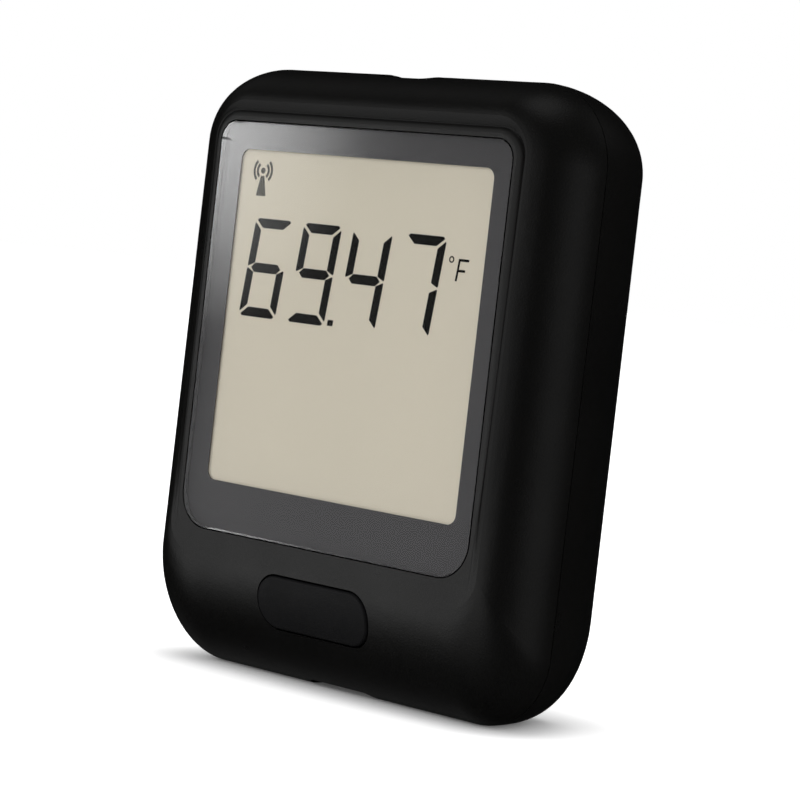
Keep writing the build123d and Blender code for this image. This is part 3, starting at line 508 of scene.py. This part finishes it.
GOLD = finish("gold_flash", (0.75, 0.52, 0.2), (0.85, 0.62, 0.28), (0.2, 0.3),
              (3000.0, 0.1), Metallic=1.0)
SOLDER = finish("solder", (0.55, 0.55, 0.56), (0.68, 0.68, 0.69), (0.18, 0.3),
                (1500.0, 0.2), Metallic=1.0)

NODE_FINISH = {
    "front_cover": FRONT, "rear_cover": HOUSING, "button_cap": BUTTON, "display_lens": PANE,
    "lens_border": BORDER, "display_polariser": DISPLAY, "lens_adhesive": TAPE,
    "display_glass": GLASS, "display_reflector": MIRROR_FILM, "display_frame": WHITE,
    "contact_strip": RUBBER, "switch_plunger": BLACK, "switch_base": BLACK, "switch_plate": STEEL,
    "circuit_board": MASK, "board_screws": ZINC, "case_screws": ZINC, "socket_shell": STEEL,
    "socket_tongue": BLACK, "battery_pouch": FOIL, "battery_pad": FOAM, "battery_header": WHITE,
    "radio_board": MASK, "radio_shield": STEEL, "radio_antenna": CERAMIC,
    "controller_chip": RESIN, "memory_chip": RESIN, "charger_chip": RESIN, "clock_crystal": STEEL,
    "power_inductor": FERRITE, "board_passives": CERAMIC, "temperature_sensor": BEAD,
}
for name, material in NODE_FINISH.items():
    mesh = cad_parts[name].data
    mesh.materials.clear()
    mesh.materials.append(material)
print("finished nodes", len(NODE_FINISH))


# %% [markdown]
# ## The reading
# A segment display draws each digit with seven bars that lean to the right.
# The outer corners of a bar are cut, and its ends are mitred so that a thin
# gap is left where two bars meet. One bar of each kind is drawn, and the
# others are its mirror images. A bar is a thin plate that lies on the film.

# %% Digits
DIGIT_WIDTH = 7.0
DIGIT_HEIGHT = 13.3
DIGIT_STROKE = 1.28
DIGIT_PITCH = 9.19
LAST_DIGIT_GAP = 0.25
DIGIT_LEFT = 3.92
DIGIT_TOP = 10.24
SLANT = 0.11
INK_THICK = 0.03
POINT_SIZE = (1.0, 0.78)
POINT_AT = (7.6, 0.14)
LIT = {"6": "afgedc", "9": "abfgcd", "4": "fgbc", "7": "abc"}
READING = "6947"
POINT_AFTER = 1

INK_BACK = FILM_LOW[1]
INK_FRONT = INK_BACK - INK_THICK


def bar_outline(bar):
    """Outline of one bar in the digit's own square axes, from its lower left corner.

    Its corners lie at shares of the stroke t from the digit's width w, height h or middle m.
    """
    w, h, t = DIGIT_WIDTH, DIGIT_HEIGHT, DIGIT_STROKE
    m = h / 2
    top = np.array([(0.25 * t, h - 0.22 * t), (0.5 * t, h), (w - 0.5 * t, h),
                    (w - 0.25 * t, h - 0.22 * t), (w - 1.25 * t, h - t), (1.25 * t, h - t)])
    right = np.array([(w - 0.08 * t, h - 0.48 * t), (w, h - 0.62 * t), (w, m + 0.2 * t),
                      (w - 0.1 * t, m + 0.1 * t), (w - t, m + 0.5 * t), (w - t, h - 1.25 * t)])
    centre = np.array([(0.55 * t, m), (1.1 * t, m + 0.5 * t), (w - 1.1 * t, m + 0.5 * t),
                       (w - 0.55 * t, m), (w - 1.1 * t, m - 0.5 * t), (1.1 * t, m - 0.5 * t)])
    flip_x, flip_z = (-1, 1), (1, -1)
    if bar in "ad":
        return top if bar == "a" else top * flip_z + (0, h)
    if bar == "g":
        return centre
    outline = right if bar in "bc" else right * flip_x + (w, 0)
    return outline if bar in "bf" else outline * flip_z + (0, h)


def leaned(outline, x, z):
    """Outline moved to (x, z) and leaned to the right about half the digit's height."""
    outline = np.asarray(outline, float)
    lean = SLANT * (outline[:, 1] - DIGIT_HEIGHT / 2)
    return outline + np.stack([lean, np.zeros_like(lean)], -1) + (x, z)


digit_x = FILM_LOW[0] + DIGIT_LEFT + DIGIT_PITCH * np.arange(len(READING))
digit_x[-1] += LAST_DIGIT_GAP
digit_z = FILM_HIGH[2] - DIGIT_TOP - DIGIT_HEIGHT
bars = [
    plate(leaned(bar_outline(bar), x, digit_z), INK_FRONT, INK_BACK)
    for digit, x in zip(READING, digit_x) for bar in LIT[digit]
]
point = np.array([(0, 0), (1, 0), (1, 1), (0, 1)]) * POINT_SIZE + POINT_AT
bars.append(plate(leaned(point, digit_x[POINT_AFTER], digit_z), INK_FRONT, INK_BACK))
digits = piece_from_grids("display_digits", bars, INK)
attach(digits, "housing")


# %% [markdown]
# ## The unit and the radio sign
# The unit is a small ring and a thin letter beside the last digit. The sign at
# the top left is a mast with waves on both sides, in a fainter ink: a tapered
# plate, a disc and four arcs. An arc is a flat band between two circles.

# %% Unit
RING_AT = (40.6, -12.99)
RING_RADIUS = 0.43
RING_STROKE = 0.17
LETTER_AT = (41.52, -15.67)
LETTER_WIDTH = 1.75
LETTER_HEIGHT = 2.86
LETTER_STROKE = 0.32
LETTER_MIDDLE, LETTER_MIDDLE_WIDTH = 0.52, 0.8  # shares of the height and the width
CORNER_X, CORNER_Z = FILM_LOW[0], FILM_HIGH[2]


def letter_bar(x0, x1, z0, z1):
    """Upright or level bar of the letter, leaned as the digits are."""
    outline = np.array([(x0, z0), (x1, z0), (x1, z1), (x0, z1)], float)
    outline[:, 0] += SLANT * outline[:, 1]
    return plate(outline + (CORNER_X + LETTER_AT[0], CORNER_Z + LETTER_AT[1]), INK_FRONT, INK_BACK)


def ring(x, z, radius, stroke, front, back):
    """Closed flat ring: the section's grid repeated round the circle."""
    section = band(circle(x, z, radius - stroke), circle(x, z, radius), front, back)
    return np.concatenate([section, section[:1]])


w, h, t = LETTER_WIDTH, LETTER_HEIGHT, LETTER_STROKE
shelf = LETTER_MIDDLE * h
ring_x, ring_z = CORNER_X + RING_AT[0], CORNER_Z + RING_AT[1]
unit_grids = [
    ring(ring_x, ring_z, RING_RADIUS, RING_STROKE, INK_FRONT, INK_BACK),
    letter_bar(0, t, 0, h - t),
    letter_bar(0, w, h - t, h),
    letter_bar(t, LETTER_MIDDLE_WIDTH * w, shelf - t, shelf),
]
unit = piece_from_grids("display_unit", unit_grids, INK)
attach(unit, "housing")

# %% Radio sign
SIGN_AT = (4.92, -3.855)
DOT_RADIUS = 0.4
MAST_TOP, MAST_FOOT = -0.72, -3.4
MAST_TOP_HALF, MAST_FOOT_HALF = 0.32, 0.91
WAVES = ((1.05, 51.0), (1.66, 47.0))  # radius, half of the arc in degrees
WAVE_STROKE, WAVE_POINTS = 0.37, 24

sign_x, sign_z = CORNER_X + SIGN_AT[0], CORNER_Z + SIGN_AT[1]
mast = np.array([(-MAST_FOOT_HALF, MAST_FOOT), (MAST_FOOT_HALF, MAST_FOOT),
                 (MAST_TOP_HALF, MAST_TOP), (-MAST_TOP_HALF, MAST_TOP)]) + (sign_x, sign_z)
dot = circle(sign_x, sign_z, DOT_RADIUS)
sign_grids = [plate(outline, INK_FRONT, INK_BACK) for outline in (mast, dot)]
for radius, spread in WAVES:
    for middle_angle in (0.0, 180.0):
        start, stop = middle_angle - spread, middle_angle + spread
        inner = circle(sign_x, sign_z, radius - WAVE_STROKE / 2, start, stop, WAVE_POINTS)
        outer = circle(sign_x, sign_z, radius + WAVE_STROKE / 2, start, stop, WAVE_POINTS)
        sign_grids.append(capped(band(inner, outer, INK_FRONT, INK_BACK)))
sign = piece_from_grids("display_sign", sign_grids, FAINT_INK)
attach(sign, "housing")


# %% [markdown]
# ## Metal on the board
# A board is drawn with thin solid copies of its bodies, but what catches the
# eye on a real one is metal. A chip's leg leaves the body at half its height,
# steps down and ends in a flat foot. A resistor has a metal cap at each end. A
# soldered pin stands in a small dome of solder. Each of these is a grid of a
# few points, repeated at the places that the solids give.

# %% Legs of the chips
BOARD_BACK = box_mm("circuit_board")[1][1]
LEG_REACH, LEG_HALF_WIDTH, LEG_PITCH = 0.93, 0.2, 1.0
CHIP_SIDE_TO_LEG_END, LEG_WIDTH = 0.9, 0.35
LEG_STEPS = np.array([(-0.1, 0.0, 0.14), (0.16, 0.0, 0.14), (0.34, -0.7, 0.14), (0.42, -1.0, 0.26),
                      (LEG_REACH, -1.0, 0.26)])


def leg_grid(x, z, outwards, mid_height):
    """One leg: rows of four corners along its steps, capped at both ends.

    A step is (way out from the body, place between the foot, -1, and the body's
    middle, 0, thickness). The foot rests on the board.
    """
    out, share, thick = LEG_STEPS.T
    low = (1 + share) * (mid_height - thick / 2)
    corners = [(low, -1), (low + thick, -1), (low + thick, 1), (low, 1)]
    rows = [np.stack([x + outwards * out, BOARD_BACK + y, z + side * LEG_HALF_WIDTH + 0 * out], -1)
            for y, side in corners]
    return capped(np.stack(rows, 1))


leg_grids = []
for chip in ("controller_chip", "memory_chip", "charger_chip"):
    low, high = box_mm(chip)
    count = int((high[2] - low[2] - LEG_WIDTH) / LEG_PITCH)
    for place in range(count):
        z = (low[2] + high[2]) / 2 + (place - (count - 1) / 2) * LEG_PITCH
        for edge, outwards in ((low[0], -1), (high[0], 1)):
            side = edge - outwards * CHIP_SIDE_TO_LEG_END
            leg_grids.append(leg_grid(side, z, outwards, (high[1] - low[1]) / 2))
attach(piece_from_grids("chip_legs", leg_grids, SOLDER), "housing")

# %% Caps of the small passives
CAP_LENGTH, CAP_OVER, CAP_EASE = 0.36, 0.02, 0.06
CORNER_POINTS = 4
PASSIVE_PITCH, PASSIVE_WIDTH = 2.6, 0.8


def soft_rectangle(x0, x1, z0, z1, ease):
    """Rectangle whose corners are rounded over by ease."""
    turns = [(x1, z1, -1, -1, 0), (x0, z1, 1, -1, 90), (x0, z0, 1, 1, 180), (x1, z0, -1, 1, 270)]
    arcs = [circle(x + in_x * ease, z + in_z * ease, ease, angle, angle + 90, CORNER_POINTS)
            for x, z, in_x, in_z, angle in turns]
    return np.concatenate(arcs)


low, high = box_mm("board_passives")
cap_grids = []
for place in range(round((high[0] - low[0] - PASSIVE_WIDTH) / PASSIVE_PITCH) + 1):
    left = low[0] + place * PASSIVE_PITCH
    x0, x1 = left - CAP_OVER, left + PASSIVE_WIDTH + CAP_OVER
    low_cap = (low[2] - CAP_OVER, low[2] + CAP_LENGTH)
    high_cap = (high[2] - CAP_LENGTH, high[2] + CAP_OVER)
    for z0, z1 in (low_cap, high_cap):
        outline = soft_rectangle(x0, x1, z0, z1, CAP_EASE)
        cap_grids.append(plate(outline, BOARD_BACK, high[1] + CAP_OVER))
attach(piece_from_grids("passive_caps", cap_grids, SOLDER), "housing")

# %% Solder domes and the crystal's leads
DOME_ROWS, DOME_SIDES = 7, 16
WIRE_SIDES, WIRE_RADIUS = 8, 0.12
CRYSTAL_DOME, SENSOR_DOME = (0.5, 0.4), (0.55, 0.5)  # radius, height
LEAD_OFF_MIDDLE, FOOT_OFF_MIDDLE, FOOT_BELOW = 0.4, 0.7, 1.8
LEAD_INSIDE, LEAD_STRAIGHT = 0.1, 0.8
SENSOR_OFF_MIDDLE, SENSOR_DOME_RISE = 0.6, 0.25


def dome(x, z, radius, height):
    """Solder dome: r = radius cos(a), y = height sin(a) for a from 0 to 90 degrees."""
    angle = np.radians(np.linspace(0, 90, DOME_ROWS))
    ring_radius = np.concatenate([[0], radius * np.cos(angle)])[:, None]
    depth = np.concatenate([[0], height * np.sin(angle)])[:, None]
    turn_round = np.linspace(0, 2 * np.pi, DOME_SIDES, endpoint=False)[None, :]
    return np.stack([x + ring_radius * np.cos(turn_round), BOARD_BACK + depth + 0 * turn_round,
                     z + ring_radius * np.sin(turn_round)], -1)


def wire(path, radius):
    """Round wire along a path of points, capped at both ends.

    Each row is a circle across the path's direction there.
    """
    path = np.asarray(path, float)
    along = np.gradient(path, axis=0)
    along /= np.linalg.norm(along, axis=1, keepdims=True)
    side = np.cross(along, (0.3, 1.0, 0.2))
    side /= np.linalg.norm(side, axis=1, keepdims=True)
    over = np.cross(side, along)
    angle = np.linspace(0, 2 * np.pi, WIRE_SIDES, endpoint=False)[None, :, None]
    round_path = np.cos(angle) * side[:, None] + np.sin(angle) * over[:, None]
    return capped(path[:, None] + radius * round_path)


def bent(start, first, second, end, count=14):
    """Points on the curve (1-t)^3 a + 3 (1-t)^2 t b + 3 (1-t) t^2 c + t^3 d."""
    t = np.linspace(0, 1, count)[:, None]
    a, b, c, d = (np.asarray(point, float) for point in (start, first, second, end))
    return (1 - t) ** 3 * a + 3 * (1 - t) ** 2 * t * b + 3 * (1 - t) * t**2 * c + t**3 * d


crystal_low, crystal_high = box_mm("clock_crystal")
crystal_x, crystal_y, _ = (crystal_low + crystal_high) / 2
crystal_foot = crystal_low[2]
sensor_foot = box_mm("temperature_sensor")[0][2]
solder_grids = []
for side in (-1, 1):
    lead_x, foot_x = crystal_x + LEAD_OFF_MIDDLE * side, crystal_x + FOOT_OFF_MIDDLE * side
    foot_z = crystal_foot - FOOT_BELOW
    solder_grids.append(dome(foot_x, foot_z, *CRYSTAL_DOME))
    solder_grids.append(dome(SENSOR_OFF_MIDDLE * side, sensor_foot + SENSOR_DOME_RISE, *SENSOR_DOME))
    lead = bent((lead_x, crystal_y, crystal_foot + LEAD_INSIDE),
                (lead_x, crystal_y, crystal_foot - LEAD_STRAIGHT),
                (foot_x, crystal_y, foot_z),
                (foot_x, BOARD_BACK + LEAD_INSIDE, foot_z))
    solder_grids.append(wire(lead, WIRE_RADIUS))
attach(piece_from_grids("solder_joints", solder_grids, SOLDER, smooth=True), "housing")

# %% [markdown]
# ## Contacts of the charging socket
# The socket is open to view from below, and its tongue carries a row of gilded
# contacts on each face. A contact is a thin plate with round ends.

# %% Socket contacts
CONTACT_COUNT, CONTACT_PITCH, CONTACT_HALF = 12, 0.28, 0.08
CONTACT_Z = (2.4, 5.6)
TONGUE_HALF, CONTACT_THICK, CONTACT_SUNK, CONTACT_EASE = 0.3, 0.02, 0.01, 0.06

shell_low, shell_high = box_mm("socket_shell")
tongue_y = (shell_low[1] + shell_high[1]) / 2
contact_grids = []
for place in range(CONTACT_COUNT):
    x = (place - (CONTACT_COUNT - 1) / 2) * CONTACT_PITCH
    outline = soft_rectangle(x - CONTACT_HALF, x + CONTACT_HALF, *CONTACT_Z, CONTACT_EASE)
    for face in (-1, 1):
        inner_y = tongue_y + face * (TONGUE_HALF - CONTACT_SUNK)
        outer_y = tongue_y + face * (TONGUE_HALF + CONTACT_THICK)
        contact_grids.append(plate(outline, min(inner_y, outer_y), max(inner_y, outer_y)))
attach(piece_from_grids("socket_contacts", contact_grids, GOLD), "housing")


# %% [markdown]
# ## Stage and light
# A black product on white is lit so that its form shows by soft reflections.
# The floor is white and takes a soft shadow round the foot: its glow is weak
# near the foot, which paints shade there on top of the real shadow. The world
# is white to the camera and lights the rest softly. One large lamp stands to
# the left, one above and one at the right, and reflections don't see them.
# What comes back out of the pane without having met a dull surface sees a
# dark room, so that the ink behind the pane stays black.

# %% Floor and world
FLOOR_SIDE = 12.0
# The floor's glow is weak near the foot and full beyond SHADE_REACH, which paints shade round the foot.
NEAR_GLOW, FAR_GLOW = 0.05, 0.75
SHADE_REACH = 0.018
FOOT_MIDDLE, FOOT_HALF = (0.0, 0.003, 0.0), (0.024, 0.006, 1.0)
PAPER_WHITE, PAPER_ROUGH = (0.95, 0.95, 0.95, 1), 0.9
WORLD_LIGHT = 0.62
PANE_DARK = 0.15


def seen_mask(tree):
    """1 for camera rays and for rays that a mirror or clear piece sends on, else 0."""
    path = tree.nodes.new("ShaderNodeLightPath")
    total = math(tree, "ADD", path.outputs["Is Camera Ray"], path.outputs["Is Glossy Ray"])
    return math(tree, "MINIMUM", math(tree, "ADD", total, path.outputs["Is Transmission Ray"]), 1.0)


def floor_material():
    """White paper that glows towards the camera, less round its foot, which paints shade there on top
    of the real shadow.

    The glow rises with the distance from the foot: length(max(|place - middle| - half, 0)).
    """
    material = bpy.data.materials.new("floor_paper")
    material.use_nodes = True
    tree = material.node_tree
    shader = tree.nodes["Principled BSDF"]
    set_sockets(shader, ("Base Color", "Roughness", "Specular IOR Level", "Emission Color"),
                (PAPER_WHITE, PAPER_ROUGH, 0.0, (1, 1, 1, 1)))
    place = tree.nodes.new("ShaderNodeTexCoord").outputs["Object"]
    from_foot = box_distance(tree, place, FOOT_MIDDLE, FOOT_HALF)
    glow = node(tree, "ShaderNodeMapRange", {"Value": from_foot})
    set_sockets(glow, ("From Max", "To Min", "To Max"), (SHADE_REACH, NEAR_GLOW, FAR_GLOW))
    strength = math(tree, "MULTIPLY", seen_mask(tree), glow.outputs["Result"])
    tree.links.new(strength, shader.inputs["Emission Strength"])
    return material


SQUARE = np.array([(-1, -1, 0), (1, -1, 0), (1, 1, 0), (-1, 1, 0)])
floor_mesh = bpy.data.meshes.new("floor")
floor_mesh.from_pydata((FLOOR_SIDE / 2 * SQUARE).tolist(), [], [(0, 1, 2, 3)])
floor_mesh.materials.append(floor_material())
floor = bpy.data.objects.new("floor", floor_mesh)
floor.visible_glossy = False
floor.visible_transmission = False
bpy.context.collection.objects.link(floor)


def studio_world():
    """White world of strength 1 to what is seen and WORLD_LIGHT to the rest.

    It is PANE_DARK as strong to rays that leave a clear piece before they have
    met a dull surface.
    """
    world = bpy.data.worlds.new("studio")
    bpy.context.scene.world = world
    world.use_nodes = True
    tree = world.node_tree
    sky = tree.nodes["Background"]
    sky.inputs["Color"].default_value = (1, 1, 1, 1)
    added = math(tree, "MULTIPLY", seen_mask(tree), 1 - WORLD_LIGHT)
    level = math(tree, "ADD", added, WORLD_LIGHT)
    path = tree.nodes.new("ShaderNodeLightPath")
    first = math(tree, "LESS_THAN", path.outputs["Diffuse Depth"], 0.5)
    inside = math(tree, "MULTIPLY", path.outputs["Is Transmission Ray"], first)
    kept = math(tree, "SUBTRACT", 1.0, math(tree, "MULTIPLY", inside, 1 - PANE_DARK))
    tree.links.new(math(tree, "MULTIPLY", level, kept), sky.inputs["Strength"])


studio_world()
print("floor", FLOOR_SIDE, "m wide, world light", WORLD_LIGHT)

# %% Lamps
AIM = np.array([0.0, 0.0, 0.041])


def aimed(place, target):
    """Pose of an object at place whose -z axis points at target, level across."""
    back = np.array(place) - target
    back /= np.linalg.norm(back)
    across = np.cross((0, 0, 1), back)
    across /= np.linalg.norm(across)
    matrix = np.eye(4)
    matrix[:3] = np.stack([across, np.cross(back, across), back, place], -1)
    return matrix.T.tolist()


def lamp(name, place, size, watts):
    """Rectangular soft lamp that faces the logger, with its place and size in metres."""
    data = bpy.data.lights.new(name, "AREA")
    data.shape = "RECTANGLE"
    data.size, data.size_y = size
    data.energy = watts
    piece = bpy.data.objects.new(name, data)
    piece.matrix_world = aimed(place, AIM)
    piece.visible_glossy = False
    piece.visible_transmission = False
    bpy.context.collection.objects.link(piece)
    return piece


lamp("left_lamp", (-0.9, -0.7, 0.5), (0.6, 0.8), 3.0)
lamp("top_lamp", (0.05, -0.05, 1.0), (0.8, 0.5), 2.5)
lamp("right_lamp", (1.0, 0.1, 0.45), (0.15, 0.8), 1.5)

# %% [markdown]
# ## Glare on the pane
# The pane has a soft glare at its upper left, as from a window in the room. A
# disc of light that fades to its edge gives it, placed where the pane mirrors
# the camera's view. Near the pane's left edge the camera looks into the border
# by way of the edge, as in a mirror, so a second disc stands where that mirror
# points, and the glare runs on up to the edge. The pane's round corners mirror
# other places: the upper one gets its light from a band between the two discs,
# and a small dark flag keeps a glint away from the lower one.

# %% Soft cards for the pane's glare
CARD_DISTANCE = 0.6
CARD_RADII = (0.048, 0.072)
CARD_GLOW = 5.5
DISC_POINTS = 48

corner = np.array([PANE_LOW[0], PANE_LOW[1], PANE_HIGH[2]]) * MM
sight = corner - camera_place
sight /= np.linalg.norm(sight)
print("line from the camera to the pane's corner", sight.round(3))


def emptied_material(name):
    """New material without any node, and its node tree."""
    material = bpy.data.materials.new(name)
    material.use_nodes = True
    material.node_tree.nodes.clear()
    return material, material.node_tree


def card_light(name, share_of, lights_dull):
    """Light of strength CARD_GLOW * (1 - share) that hides nothing behind it.

    share_of puts the nodes that give the share into the tree. Unless lights_dull
    is set, rays that have met a dull surface don't see the light.
    """
    material, tree = emptied_material(name)
    place = tree.nodes.new("ShaderNodeTexCoord").outputs["Object"]
    fade = node(tree, "ShaderNodeMapRange", {"Value": share_of(tree, place)})
    set_sockets(fade, ("To Min", "To Max"), (CARD_GLOW, 0.0))
    strength = fade.outputs["Result"]
    if not lights_dull:
        path = tree.nodes.new("ShaderNodeLightPath")
        first = math(tree, "LESS_THAN", path.outputs["Diffuse Depth"], 0.5)
        strength = math(tree, "MULTIPLY", strength, first)
    glow = node(tree, "ShaderNodeEmission", {"Strength": strength})
    clear = tree.nodes.new("ShaderNodeBsdfTransparent")
    both = node(tree, "ShaderNodeAddShader", {0: glow.outputs[0], 1: clear.outputs[0]})
    out = tree.nodes.new("ShaderNodeOutputMaterial")
    tree.links.new(both.outputs[0], out.inputs["Surface"])
    return material


def place_card(name, points, faces, matrix, material, hidden_from):
    """Card of the given points that isn't seen by the listed kinds of rays."""
    mesh = bpy.data.meshes.new(name)
    mesh.from_pydata(points.tolist(), [], faces)
    mesh.materials.append(material)
    card = bpy.data.objects.new(name, mesh)
    card.matrix_world = matrix
    bpy.context.collection.objects.link(card)
    for kind in hidden_from:
        setattr(card, "visible_" + kind, False)


def share_of_disc(tree, place):
    """length(place / radii)"""
    divided = node(tree, "ShaderNodeVectorMath", {0: place}, operation="DIVIDE")
    divided.inputs[1].default_value = (*CARD_RADII, 1.0)
    links = {0: divided.outputs["Vector"]}
    return node(tree, "ShaderNodeVectorMath", links, operation="LENGTH").outputs["Value"]


def glare_card(name, mirror, hidden_from):
    """Disc of light that one mirror of the pane's upper left corner shows, fading to its edge.

    mirror: signs that turn the line from the camera to the corner into the line
    from the corner to the disc. hidden_from: kinds of rays that don't see it.
    """
    angle = np.linspace(0, 2 * np.pi, DISC_POINTS, endpoint=False)
    rim = np.stack([np.cos(angle) * CARD_RADII[0], np.sin(angle) * CARD_RADII[1], 0 * angle], -1)
    matrix = aimed(corner + CARD_DISTANCE * sight * mirror, corner)
    light = card_light(name, share_of_disc, "diffuse" not in hidden_from)
    place_card(name, rim, [tuple(range(len(rim)))], matrix, light, hidden_from)


TRANSMISSION_ONLY = ("camera", "shadow", "glossy", "diffuse")
glare_card("face_card", (1, -1, 1), ("camera", "shadow"))
glare_card("edge_card", (-1, -1, 1), TRANSMISSION_ONLY)
print("glare cards", CARD_DISTANCE, "m from the pane")


# %% Band of light for the round corner of the pane
BAND_HALF = 0.07
BAND_ENDS = (13.5, 132.0)
BAND_POINTS = 40


def corner_band():
    """Part of a ring of light below the pane, from near the edge card towards the face card.

    Its share is |length(place) - radius| / half width.
    """
    radius = float(CARD_DISTANCE * np.hypot(sight[0], sight[2]))
    angle = np.radians(np.linspace(*BAND_ENDS, BAND_POINTS))[:, None]
    across = radius + BAND_HALF * np.array([-1, 1])[None, :]
    points = np.stack([across * np.cos(angle), 0 * across * angle, -across * np.sin(angle)], -1)
    faces = [(2 * i, 2 * i + 1, 2 * i + 3, 2 * i + 2) for i in range(BAND_POINTS - 1)]

    def share(tree, place):
        away = node(tree, "ShaderNodeVectorMath", {0: place}, operation="LENGTH").outputs["Value"]
        gap = math(tree, "ABSOLUTE", math(tree, "SUBTRACT", away, radius), 0.0)
        return math(tree, "DIVIDE", gap, BAND_HALF)

    matrix = np.eye(4)
    matrix[:3, 3] = corner - (0, CARD_DISTANCE * sight[1], 0)
    light = card_light("band_light", share, False)
    place_card("corner_band", points.reshape(-1, 3), faces, matrix.T.tolist(), light, TRANSMISSION_ONLY)
    print("corner band of radius", round(radius, 3))


corner_band()


# %% Flag in front of the lower left corner
FLAG_FROM_CORNER = np.array([10.0, -11.0, 4.0])
FLAG_HALF = 6.0


def corner_flag():
    """Small square as dark as the room, which keeps the edge card's light from the lower corner.

    Rays that have met a dull surface pass through it.
    """
    material, tree = emptied_material("flag_dark")
    path = tree.nodes.new("ShaderNodeLightPath")
    met = math(tree, "GREATER_THAN", path.outputs["Diffuse Depth"], 0.5)
    dark = tree.nodes.new("ShaderNodeEmission")
    dark.inputs["Strength"].default_value = PANE_DARK
    clear = tree.nodes.new("ShaderNodeBsdfTransparent")
    mix = node(tree, "ShaderNodeMixShader", {"Fac": met, 1: dark.outputs[0], 2: clear.outputs[0]})
    out = tree.nodes.new("ShaderNodeOutputMaterial")
    tree.links.new(mix.outputs[0], out.inputs["Surface"])
    matrix = aimed((PANE_LOW + FLAG_FROM_CORNER) * MM, PANE_LOW * MM)
    square = FLAG_HALF * MM * SQUARE
    place_card("corner_flag", square, [(0, 1, 2, 3)], matrix, material, TRANSMISSION_ONLY)
    print("corner flag of half width", FLAG_HALF)


corner_flag()


# %% [markdown]
# ## Dark surroundings for the black plastic
# White surroundings would wash out black satin plastic, above all where it
# turns away from the camera. A photographer puts black cloth round such a
# product and leaves a few soft windows in it. Here that is one large dark ball
# round the logger that only reflections see. Each window is a soft round spot
# of light on it, given by its direction, its half width and its strength.

# %% Dark ball with soft windows
BALL_RADIUS = 1.3
BALL_DARK = 0.008
BALL_COLUMNS, BALL_ROWS = 72, 37
WINDOWS = (  # azimuth from the front towards the right, elevation, half width, strength
    (-12.0, 4.0, 62.0, 0.75),
    (-50.0, 22.0, 24.0, 0.5),
    (-44.0, -4.0, 16.0, 0.85),
    (-46.0, -17.0, 19.0, 1.2),
    (-8.0, -33.0, 28.0, 0.12),
    (94.0, 0.0, 34.0, 0.4),
    (0.0, 88.0, 34.0, 0.5),
    (-95.0, 44.0, 32.0, 0.07),
    (-112.0, -42.0, 32.0, 0.07),
    (150.0, 42.0, 30.0, 0.1),
)


def direction(azimuth, elevation):
    """Unit vector from the logger, azimuth from its front towards its right."""
    azimuth, elevation = np.radians([azimuth, elevation])
    flat = np.cos(elevation)
    return np.array([flat * np.sin(azimuth), -flat * np.cos(azimuth), np.sin(elevation)])


def ball_material():
    """BALL_DARK plus, for each window, strength * smooth(1 - angle / half width).

    The angle lies between the direction of the shaded point and that of the window.
    """
    material = bpy.data.materials.new("dark_ball")
    material.use_nodes = True
    tree = material.node_tree
    tree.nodes.clear()
    place = tree.nodes.new("ShaderNodeTexCoord").outputs["Object"]
    here = node(tree, "ShaderNodeVectorMath", {0: place}, operation="NORMALIZE").outputs["Vector"]
    total = BALL_DARK
    for azimuth, elevation, half_width, strength in WINDOWS:
        dot = node(tree, "ShaderNodeVectorMath", {0: here}, operation="DOT_PRODUCT")
        dot.inputs[1].default_value = direction(azimuth, elevation).tolist()
        angle = math(tree, "ARCCOSINE", dot.outputs["Value"], 0.0)
        spot = node(tree, "ShaderNodeMapRange", {"Value": angle}, interpolation_type="SMOOTHERSTEP")
        values = (float(np.radians(half_width)), strength, 0.0)
        set_sockets(spot, ("From Max", "To Min", "To Max"), values)
        total = math(tree, "ADD", spot.outputs["Result"], total)
    glow = node(tree, "ShaderNodeEmission", {"Strength": total})
    out = tree.nodes.new("ShaderNodeOutputMaterial")
    tree.links.new(glow.outputs[0], out.inputs["Surface"])
    return material


def dark_ball():
    """Ball round the logger: rings of points at even heights in angle, from pole to pole."""
    azimuth = np.linspace(0, 360, BALL_COLUMNS, endpoint=False)[None, :]
    elevation = np.linspace(-90, 90, BALL_ROWS)[:, None]
    points = BALL_RADIUS * np.stack(direction(azimuth + 0 * elevation, elevation + 0 * azimuth), -1)
    mesh = bpy.data.meshes.new("dark_ball")
    faces = grid_faces(BALL_ROWS, BALL_COLUMNS, 0)
    mesh.from_pydata(points.reshape(-1, 3).tolist(), [], faces.tolist())
    mesh.materials.append(ball_material())
    ball = bpy.data.objects.new("dark_ball", mesh)
    ball.location = AIM
    bpy.context.collection.objects.link(ball)
    for kind in ("camera", "diffuse", "shadow", "transmission"):
        setattr(ball, "visible_" + kind, False)


dark_ball()
print("windows on the dark ball", len(WINDOWS))

# %% [markdown]
# ## Colours
# The view is kept plain, so that the colours are those that the finishes give.

# %% Colour handling
bpy.context.scene.view_settings.view_transform = "Standard"
